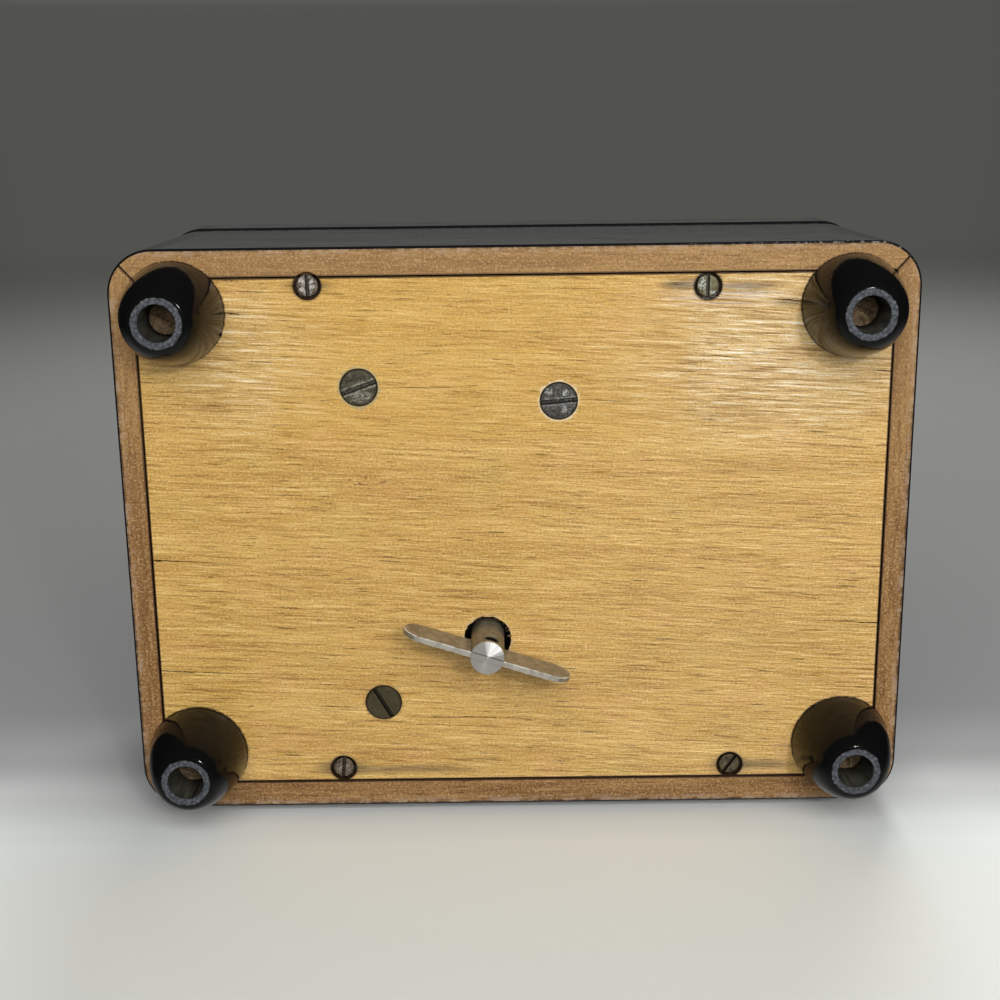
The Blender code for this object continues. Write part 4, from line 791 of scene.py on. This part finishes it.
def build_skin():
    """The lacquer layer round the case: its lower edge frames the bare rails with an uneven black line."""
    outer = rounded_rectangle(HALF_X, HALF_Y, CORNER)
    edge = rounded_rectangle(HALF_X - 0.00012, HALF_Y - 0.00012, CORNER - 0.00012)
    inner = rounded_rectangle(HALF_X - SKIN, HALF_Y - SKIN, CORNER - SKIN)
    worn = []
    lifts = []
    for point in inner:
        wave = noise.noise(Vector((point.x * 260, point.y * 260, 1.7)))
        wave += 0.6 * noise.noise(Vector((point.x * 900, point.y * 900, 5.1)))
        inward = -point.normalized()
        worn.append(point + inward * 0.00012 * wave)
        lifts.append(UNDERSIDE + 0.00004 + 0.00005 * abs(wave))
    under_lid = rounded_rectangle(HALF_X - 0.0003, HALF_Y - 0.0003, CORNER - 0.0003)
    loops = [
        (inner, wall_top),
        (under_lid, wall_top),
        (outer, UNDERSIDE + 0.0012),
        (outer, UNDERSIDE + 0.0004),
        (edge, UNDERSIDE + 0.00012),
        (worn, lifts),
    ]
    skin = stack("case_skin", loops, "skin", closed=True, smooth=50)
    carve(skin, hinge_notches(), 50)
    dress(skin, "case", "black_lacquer")


def rail_outline(half_run, half_across, run_wall, end_wall, steps=12):
    """A front rail seen from above, from its left inner corner round the outside to the right one."""
    half_run -= SKIN + 0.00002
    half_across -= SKIN + 0.00002
    radius = CORNER - SKIN
    run_wall -= SKIN
    end_wall -= SKIN
    outer = Vector((half_run, -half_across))
    inner = Vector((half_run - end_wall, -half_across + run_wall))
    direction = (inner - outer).normalized()
    aside = Vector((-direction.y, direction.x))
    if aside.x > 0:
        aside = -aside
    start = outer + aside * GAP / 2
    centre = Vector((half_run - radius, -half_across + radius))
    relative = start - centre
    along = relative.dot(direction)
    reach = -along - math.sqrt(along * along - relative.length_squared + radius * radius)
    end = relative + direction * reach
    end_angle = math.atan2(end.y, end.x)
    corner = []
    for step in range(steps + 1):
        angle = -math.pi / 2 + (end_angle + math.pi / 2) * step / steps
        corner.append(centre + radius * Vector((math.cos(angle), math.sin(angle))))
    inner_point = start + direction * ((inner.y - start.y) / direction.y)
    right = corner + [inner_point]
    left = [Vector((-point.x, point.y)) for point in reversed(right)]
    return left + right


def build_rails():
    """Bare wood inside the skin, mitred at the corners."""
    for turns, side in enumerate(("front", "right", "back", "left")):
        along_x = turns % 2 == 0
        if along_x:
            outline = rail_outline(HALF_X, HALF_Y, LONG_WALL, SIDE_WALL)
        else:
            outline = rail_outline(HALF_Y, HALF_X, SIDE_WALL, LONG_WALL)
        for _ in range(turns):
            outline = [Vector((-point.y, point.x)) for point in outline]
        centre = sum(outline, Vector((0, 0))) / len(outline)
        shrunk = [point + (centre - point).normalized() * 0.00006 for point in outline]
        loops = [(shrunk, UNDERSIDE + 0.00001), (outline, UNDERSIDE + 0.00008), (outline, wall_top)]
        rail = stack(f"rail_{side}", loops, "rail_x" if along_x else "rail_y")
        if side == "front":
            carve(rail, panel_screw_seats(["panel_screw_1", "panel_screw_2"]))
        if side == "back":
            carve(rail, hinge_notches())
        dress(rail, "case", "black_lacquer", f"side_{side}")


def build_lid():
    """One lacquered shell in place of the lid's five boards, with rounded edges."""
    def ring(inset, height, radius=None):
        radius = radius or max(CORNER - inset, 0.0008)
        return rounded_rectangle(HALF_X - inset, HALF_Y - inset, radius), height

    wall = SIDE_WALL
    low = lid_bottom
    loops = [ring(wall, lid_ceiling + 0.0002, 0.0009), ring(wall, low + 0.0003, 0.0009)]
    loops += [ring(wall - 0.0003, low, 0.0012), ring(0.0003, low), ring(0.0, low + 0.0003)]
    edge = 0.0015
    top = lid_high.z
    loops += [ring(0.0, low + 0.0008), ring(0.0, top - edge - 0.0006), ring(0.0, top - edge)]
    loops += [ring(edge * inward, top - edge * left) for inward, left in quarter(6)]
    shell = stack("lid_shell", loops, "lid")
    carve(shell, hinge_notches())
    dress(shell, "lid", "black_lacquer", "lid_front", "lid_right", "lid_back", "lid_left", "lid_top")


def build_panel():
    """The underside with its seats, ragged key hole and splits."""
    half_x = panel_high.x
    half_y = (panel_high.y - panel_low.y) / 2
    outline = rounded_rectangle(half_x, half_y, 0.0003, 2, 6)
    inside = rounded_rectangle(half_x - 0.0001, half_y - 0.0001, 0.0002, 2, 6)
    loops = [(inside, UNDERSIDE), (outline, UNDERSIDE + 0.0001), (outline, panel_high.z)]
    panel = stack("panel", loops, "panel")
    cutters = panel_screw_seats(PANEL_SLOTS) + screw_seats(MOVEMENT_SLOTS, 0.00362, 0.0015, 64)
    cutters.append(ragged_hole())
    for index, (points, width) in enumerate(SPLITS):
        cutters.append(split_cutter(f"split_{index}", points, width * 0.0013, index))
    carve(panel, cutters, 30)
    dress(panel, "case", "plywood", "bottom_panel")


def build_splinters():
    """Pale torn fibres on the key hole's front edge."""
    random.seed(5)
    bm = bmesh.new()
    for index in range(16):
        angle = math.radians(-125 + 128 * index / 15 + random.uniform(-3, 3))
        outward = Vector((math.cos(angle), math.sin(angle), 0))
        aside = Vector((-outward.y, outward.x, 0))
        length = random.uniform(0.0005, 0.0011)
        half = random.uniform(0.00004, 0.00008)
        lean = random.uniform(-0.0006, 0.0002)
        root = Vector((KEY.x, KEY.y, UNDERSIDE + random.uniform(0.0001, 0.0009))) + outward * 0.0048
        tip = root - outward * (length + 0.0002) + aside * lean + Vector((0, 0, 0.0002))
        corners = [root - aside * half, root + aside * half, root + Vector((0, 0, 2 * half))]
        base = [bm.verts.new(corner) for corner in corners]
        bridge(bm, [base, [bm.verts.new(tip)]], caps=False)
        bm.faces.new(base)
    dress(to_object("hole_splinters", bm, ["bare"]), "case", "plywood")


def ragged_hole():
    """Cutter for the key hole, torn most at the underside."""
    bm = bmesh.new()
    levels = (UNDERSIDE - 0.0005, UNDERSIDE + 0.0006, UNDERSIDE + 0.0012, panel_high.z + 0.0005)
    rings = []
    for height, ragged in zip(levels, (1.0, 1.0, 0.5, 0.3)):
        ring = []
        for x, y in circle(1.0, 120):
            wave = noise.noise(Vector((x * 6, y * 6, 2.3))) + 0.6 * noise.noise(Vector((x * 22, y * 22, 7.7)))
            radius = 0.00462 + 0.00022 * wave * ragged
            ring.append(bm.verts.new((KEY.x + radius * x, KEY.y + radius * y, height)))
        rings.append(ring)
    bridge(bm, rings)
    return to_object("key_hole_cutter", bm)


def split_cutter(name, points, width, seed):
    """A thin wedge along the grain: widest in its first third, wandering a little, pointed at both ends."""
    bm = bmesh.new()
    points = [Vector((x / 1000, y / 1000)) for x, y in points]
    samples = []
    for first, second in zip(points, points[1:]):
        count = max(3, round((second - first).length / 0.0009))
        samples += [first.lerp(second, step / count) for step in range(count)]
    samples.append(points[-1])
    near_edge = 0.069
    flipped = abs(points[-1].x) > near_edge
    edge = flipped or abs(points[0].x) > near_edge
    rows = []
    for index, point in enumerate(samples):
        share = index / (len(samples) - 1)
        if flipped:
            share = 1 - share
        swell = (1 - share) ** 0.7 if edge else max(0.0, math.sin(math.pi * share)) ** 0.6
        uneven = 0.75 + 0.5 * noise.noise(Vector((index * 0.7, seed * 3.1, 0)))
        half = max(0.000012, width / 2 * swell * uneven)
        y = point.y + 0.0001 * noise.noise(Vector((index * 0.35, seed * 1.7, 4.2)))
        low = UNDERSIDE - 0.0003
        deep = UNDERSIDE + 0.0002 + 0.0006 * swell
        corners = ((-1.15 * half, low), (1.15 * half, low), (0.55 * half, deep), (-0.55 * half, deep))
        rows.append([bm.verts.new((point.x, y + aside, z)) for aside, z in corners])
    bridge(bm, rows)
    return to_object(name, bm)


def build_feet():
    """Turned domes with a rubbed tip ring and a bore, each about its own axis."""
    tip_radius, bore_radius, bore_depth, shank_radius = 0.0046, 0.0034, 0.0098, 0.0017
    for index, corner in enumerate(FOOT_SLOTS):
        node = f"foot_{corner}"
        base_radius = half_width(node)
        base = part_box(node)[1].z + 0.00025
        dome = base - 0.0006
        profile = [(shank_radius, base), (base_radius - 0.0002, base), (base_radius, base - 0.0002)]
        rings = 44
        for step in range(rings):
            drop = 1 - (1 - step / rings) ** 1.5
            swell = math.sqrt(1 - drop ** 1.3)
            profile.append((tip_radius + (base_radius - tip_radius) * swell, dome * (1 - drop) + 0.00006))
        profile += [(tip_radius - 0.00005, 0.00002), (tip_radius - 0.00015, 0.0), (bore_radius + 0.0001, 0.0)]
        profile += [(bore_radius, 0.0001), (bore_radius, bore_depth), (shank_radius, bore_depth)]
        foot = lathe(f"turned_{node}", profile, (0, 0), 96, "foot", smooth=45)
        for vertex in foot.data.vertices:
            if vertex.co.z < 0.0012:
                worn = noise.noise(vertex.co * 700 + Vector((index * 3, 0, 0)))
                vertex.co.x *= 1 + 0.012 * worn
                vertex.co.y *= 1 + 0.012 * worn
                vertex.co.z = max(0.0, vertex.co.z + 0.00005 * worn)
        foot.location = (middle(node).x, middle(node).y, 0)
        foot.rotation_euler = (0, 0, index * math.pi / 2)
        dress(foot, "case", "black_lacquer", node)
    for corner, angle in (("front_left", 25), ("back_right", 235)):
        node = f"foot_{corner}"
        turn = math.radians(angle)
        outward = Vector((math.cos(turn), math.sin(turn), 0)) * (half_width(node) - 0.0001)
        place = Vector((middle(node).x, middle(node).y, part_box(node)[1].z - 0.0004)) + outward
        bm = bmesh.new()
        bmesh.ops.create_uvsphere(bm, u_segments=24, v_segments=16, radius=0.00038)
        flat = Matrix.Diagonal((1.2, 0.9, 0.8, 1))
        bmesh.ops.transform(bm, matrix=Matrix.Translation(place) @ flat, verts=bm.verts)
        dress(to_object(f"lacquer_drip_{corner}", bm, ["foot"]), "case", "black_lacquer")


def build_screw(name, angle, head_radius, head_height, material, slot_width, slot_depth=0.5, crown=0.0,
                upward=False):
    """A slotted screw head with a rounded rim, and its shank; the slot's sizes are shares of the head's."""
    low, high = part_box(name)
    place = middle(name)
    shank = 0.42 * head_radius
    rim = head_radius * 0.09
    face = low.z
    profile = [(0.0, high.z - 0.0002), (shank * 0.9, high.z - 0.0002), (shank, high.z - 0.0006)]
    top = face + head_height
    profile += [(shank, top), (head_radius, top), (head_radius, face + rim + crown)]
    profile += [(head_radius - rim * inward, face + crown + rim * left) for inward, left in quarter(3)]
    for step in range(1, 5):
        share = 1 - step / 4
        profile.append(((head_radius - rim) * share, face + crown * share * share))
    if upward:
        profile = [(radius, low.z + high.z - height) for radius, height in profile]
        face = high.z
    screw = lathe(name + "_head", profile, place, 64, material)
    half = head_radius * slot_width / 2
    depth = head_height * slot_depth
    slot = box_object(name + "_slot", (-head_radius * 1.3, -half, -depth), (head_radius * 1.3, half, depth))
    turn = Matrix.Rotation(math.radians(angle), 4, "Z")
    slot.matrix_world = Matrix.Translation((place.x, place.y, face)) @ turn
    carve(screw, [slot])
    dress(screw, "case", "steel" if upward else "screw_steel", name)


def build_screws():
    for corner, angle in FOOT_SLOTS.items():
        build_screw(f"foot_screw_{corner}", angle, 0.0031, 0.0018, "foot_screw", 0.24, crown=0.0003)
    for name, angle in PANEL_SLOTS.items():
        build_screw(name, angle, 0.002, 0.0013, name, SLOT_SHARES[name], 0.6)
    for name, angle in MOVEMENT_SLOTS.items():
        build_screw(name, angle, 0.0035, 0.0015, name, SLOT_SHARES[name])
    for name in ("comb_screw_1", "comb_screw_2"):
        build_screw(name, 30, 0.0019, 0.0012, "blue_steel", 0.22, upward=True)


def build_key():
    """Turned stem with a cross hole, and the flat wing in its slot; both ends are turned flush."""
    radius = half_width("key_stem")
    low = stem_low.z
    edge = 0.00016
    hole_radius, hole_end = 0.0018, 0.0116
    profile = [(0.0, hole_end), (hole_radius, hole_end), (hole_radius, stem_high.z), (radius, stem_high.z)]
    profile.append((radius, low + edge))
    profile += [(radius - edge * inward, low + edge * left) for inward, left in quarter(3)]
    profile += [(radius * 0.6, low), (0.0, low)]
    stem = lathe("key_turned_stem", profile, (0, 0), 96, "stem")
    turn = Matrix.Rotation(math.radians(KEY_ANGLE), 4, "Z")
    reach = 0.004
    cutters = [
        box_object("key_slot", (-reach, -0.0003, 0.0003), (reach, 0.0011, 0.0072)),
        box_object("key_slot_line", (-reach, -0.00042, -0.001), (reach, -0.00026, 0.00045)),
        box_object("key_faint_line", (-reach, 0.00088, -0.001), (reach, 0.00098, 0.0001)),
        rod_object("key_cross", (0, 0.0001, 0.0024), (0, -0.006, 0.0024), 0.0014, 32),
    ]
    for cutter in cutters:
        cutter.matrix_world = Matrix.Translation((0, 0, low)) @ turn
    carve(stem, cutters)
    stem.location = KEY
    dress(stem, "winding", "nickel", "key_stem")

    end, span = 0.0035, 0.0331
    half, bevel, shift = 0.00055, 0.00015, 0.0003
    straight = span / 2 - end
    outline = []
    for side, start in ((1, -90), (-1, 90)):
        for step in range(21):
            angle = math.radians(start + 180 * step / 20)
            outline.append(Vector((side * straight + end * math.cos(angle), end * math.sin(angle))))
    bm = bmesh.new()
    rings = []
    for inset, depth in ((bevel, -half), (0.0, -half + bevel), (0.0, half - bevel), (bevel, half)):
        ring = []
        for point in outline:
            beyond = max(abs(point.x) - straight, 0.0)
            moved = point - Vector((math.copysign(beyond, point.x), point.y)).normalized() * inset
            ring.append(bm.verts.new((moved.x, depth + shift, moved.y + end)))
        rings.append(ring)
    first_bevel, _, second_bevel = bridge(bm, rings)
    for face in first_bevel + second_bevel:
        face.material_index = 1
    bmesh.ops.transform(bm, matrix=Matrix.Translation((KEY.x, KEY.y, low + 0.00014)) @ turn, verts=bm.verts)
    dress(to_object("key_flat_wing", bm, ["wing", "wing_edge"]), "winding", "nickel", "key_wing")


def build_hinges():
    """Knuckled butt hinges in brass."""
    knuckle, bore, bevel, thickness, play = 0.0013, 0.0007, 0.0001, 0.0008, 0.0002
    for side in ("left", "right"):
        low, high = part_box(f"hinge_{side}_case_leaf")
        axis = middle(f"hinge_{side}_pin")
        centre = (low.x + high.x) / 2
        inner = (high.x - low.x) * 0.34 / 2
        spans = {
            "case": [(low.x, centre - inner - play), (centre + inner + play, high.x)],
            "lid": [(centre - inner, centre + inner)],
        }
        for body, ends in spans.items():
            bm = bmesh.new()
            for start, end in ends:
                rings = []
                for x, radius in ((start, knuckle - bevel), (start + bevel, knuckle), (end - bevel, knuckle),
                                  (end, knuckle - bevel), (end, bore), (start, bore)):
                    rings.append([bm.verts.new((x, axis.y + y, axis.z + z)) for y, z in circle(radius, 32)])
                bridge(bm, rings, closed=True)
            bottom = wall_top - thickness if body == "case" else lid_bottom
            leaf = bmesh.ops.create_cube(bm, size=1)
            edge_y = axis.y - 0.0009
            size = Matrix.Diagonal((high.x - low.x, edge_y - low.y, thickness, 1))
            place = Matrix.Translation((centre, (edge_y + low.y) / 2, bottom + thickness / 2))
            bmesh.ops.transform(bm, matrix=place @ size, verts=leaf["verts"])
            made = to_object(f"hinge_{side}_{body}_brass", bm, ["brass"])
            dress(made, body, "brass", f"hinge_{side}_{body}_leaf")


def build_linings():
    """Velvet over card: the lid's pad and the case's inner walls above the tray."""
    low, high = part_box("lid_lining")
    half_x, half_y = (high.x - low.x) / 2, (high.y - low.y) / 2
    heights = {0.0003: high.z, 0.0: (high.z + low.z) / 2, 0.0002: low.z + 0.00024, 0.0015: low.z}
    loops = []
    for inset, height in heights.items():
        loops.append((rounded_rectangle(half_x - inset, half_y - inset, 0.001, 4, 24), height))
    dress(stack("lid_pad", loops, "velvet", smooth=60), "lid", "velvet", "lid_lining")

    half_x, half_y = panel_high.x, HALF_Y - LONG_WALL - 0.0002
    bottom, top = tray_top + 0.0001, wall_top - 0.003
    outer, brim, inner = (
        rounded_rectangle(half_x - inset, half_y - inset, 0.0006, 4, 24)
        for inset in (-0.0001, 0.0004, 0.0009)
    )
    loops = [(outer, bottom), (outer, top), (brim, top + 0.0004), (inner, top), (inner, bottom)]
    dress(stack("wall_lining", loops, "velvet", closed=True, smooth=60), "case", "velvet")


def finish_nodes():
    """Materials for the CAD nodes that stay as they are."""
    looks = {
        "bare": ("cleat_front", "cleat_back", "tray_ledge_left", "tray_ledge_right"),
        "velvet": ("tray_floor", "tray_divider"),
        "zinc": ("bedplate",),
        "brass": ("barrel", "barrel_cover", "barrel_bridge", "cylinder", "cylinder_wheel", "second_wheel",
                  "governor_frame"),
        "steel": ("hinge_left_pin", "hinge_right_pin", "winding_arbor", "ratchet_wheel", "click",
                  "cylinder_arbor", "fly", "comb", "stop_lever", "stop_rod"),
        "blue_steel": ("click_spring", "mainspring"),
    }
    for key, names in looks.items():
        for name in names:
            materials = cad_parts[name].data.materials
            materials.clear()
            materials.append(MATERIALS[key])


def stage_material(name, stops, near, far, by_height=False):
    """A matt floor seen from its front only: its tone follows the distance or height, then it fades out."""
    shade = Shader(name, stops[0][1], 0.9)
    shade.set("Specular IOR Level", 0.1)
    distance = shade.vector("LENGTH", shade.place)
    reach = shade.axis(2) if by_height else distance
    shade.set("Base Color", shade.ramp(reach, *stops, interpolation="EASE"))
    hidden = shade.larger(shade.band(distance, near, far), shade.node("NewGeometry", output="Backfacing"))
    clear = shade.node("BsdfTransparent")
    blend = shade.node("MixShader", {0: hidden, 1: shade.surface.outputs[0], 2: clear})
    shade.put(shade.tree.nodes["Material Output"].inputs["Surface"], blend)
    return shade.material


def stage_plane(name, centre, first, second, material):
    """A rectangle whose front is on the side of first x second."""
    bm = bmesh.new()
    centre, first, second = Vector(centre), Vector(first), Vector(second)
    signs = ((-1, -1), (1, -1), (1, 1), (-1, 1))
    bm.faces.new([bm.verts.new(centre + first * across + second * along) for across, along in signs])
    mesh = bpy.data.meshes.new(name)
    bm.to_mesh(mesh)
    bm.free()
    plane = bpy.data.objects.new(name, mesh)
    mesh.materials.append(material)
    bpy.context.scene.collection.objects.link(plane)
    plane.visible_shadow = False
    plane.visible_glossy = False
    plane.visible_diffuse = False


def area_light(name, place, size, power, colour=(1, 1, 1), mirrored=True):
    """A rectangular lamp turned to the object; mirrored says whether gloss shows it."""
    data = bpy.data.lights.new(name, "AREA")
    data.shape = "RECTANGLE"
    data.size, data.size_y = size
    data.energy = power
    data.color = colour
    light = bpy.data.objects.new(name, data)
    bpy.context.scene.collection.objects.link(light)
    light.location = place
    light.rotation_euler = (Vector((0, 0, 0.02)) - Vector(place)).to_track_quat("-Z", "Y").to_euler()
    light.visible_glossy = mirrored


def build_stage():
    """Pale floors under the box's back and under its feet, with painted shadow and fall-off of light, a plain
    room round them, and soft lamps.
    """
    # Tone by height: pale up to the feet's level, falling to grey beyond, as painted fall-off of light and
    # the box's painted shade.
    back_tones_painted_falloff = [(0.0, (0.84, 0.87, 0.84)), (0.004, (0.8, 0.83, 0.81)), (0.022, (0.6, 0.61, 0.6)),
                  (0.04, (0.36, 0.365, 0.36)), (0.07, (0.27, 0.275, 0.27)), (0.2, (0.29, 0.292, 0.285)),
                  (0.52, (0.29, 0.29, 0.28)), (0.92, (0.27, 0.27, 0.25))]
    # Painted shadow: dark where the box stands, pale beyond.
    feet_tones_painted_shadow = [(0.0, (0.08, 0.08, 0.08)), (0.055, (0.12, 0.12, 0.12)), (0.105, (0.5, 0.495, 0.48)),
                  (0.17, (0.62, 0.615, 0.6)), (0.6, (0.56, 0.555, 0.53))]
    stage_plane("floor_under_back", (0, 0.0562, 0.3), (2.6, 0, 0), (0, 0, 2.6),
                stage_material("floor_back", back_tones_painted_falloff, 0.4, 1.5, by_height=True))
    stage_plane("floor_under_feet", (0, 0, 0), (2.6, 0, 0), (0, 2.6, 0),
                stage_material("floor_feet", feet_tones_painted_shadow, 0.6, 2.4))
    world = bpy.data.worlds.new("studio")
    bpy.context.scene.world = world
    world.use_nodes = True
    sky = Nodes(world.node_tree, "Generated")
    room = sky.mix(sky.band(sky.axis(1), -0.062, -0.09), (0.084, 0.086, 0.078), (0.16, 0.16, 0.152))
    room = sky.mix(sky.band(sky.axis(2), 0.96, 0.88), room, (0.008, 0.008, 0.008))
    room = sky.mix(sky.band(sky.axis(1), 0.15, 0.8), room, (0.42, 0.415, 0.4))
    sky.put(world.node_tree.nodes["Background"].inputs["Color"], room)
    area_light("front_soft", (0.05, -0.36, -0.62), (0.9, 0.6), 6.6, mirrored=False)
    area_light("front_right", (0.22, -0.29, -0.66), (0.05, 0.05), 1.2, (1.0, 0.97, 0.93))
    area_light("top_soft", (0.15, -0.75, 0.75), (0.5, 0.5), 7.0, mirrored=False)
    area_light("back_soft", (-0.6, 0.75, 0.6), (0.5, 0.4), 4.0, mirrored=False)


def build_camera():
    """The photograph's camera: turn and box_in_view are how the box stands in its view."""
    frame_pixels, focal_pixels, sensor = 1000, 1490.17, 36
    data = bpy.data.cameras.new("camera")
    camera = bpy.data.objects.new("camera", data)
    bpy.context.scene.collection.objects.link(camera)
    data.sensor_width = sensor
    data.lens = sensor * focal_pixels / frame_pixels
    data.clip_start = 0.005
    data.clip_end = 20
    turn = Vector((0.25417, -0.0004, -0.01241))
    box_in_view = Vector((3.23483, 7.18702, 285.71054)) / 1000
    back = Matrix.Rotation(turn.length, 3, turn.normalized()).transposed()
    world = Matrix((back.col[0], -back.col[1], -back.col[2])).transposed().to_4x4()
    world.translation = Vector((0, CASE_Y, UNDERSIDE)) - back @ box_in_view
    camera.matrix_world = world
    bpy.context.scene.camera = camera


bpy.context.scene.view_settings.view_transform = "Standard"
build_camera()
build_skin()
build_rails()
build_lid()
build_panel()
build_splinters()
build_feet()
build_screws()
build_key()
build_hinges()
build_linings()
finish_nodes()
build_stage()
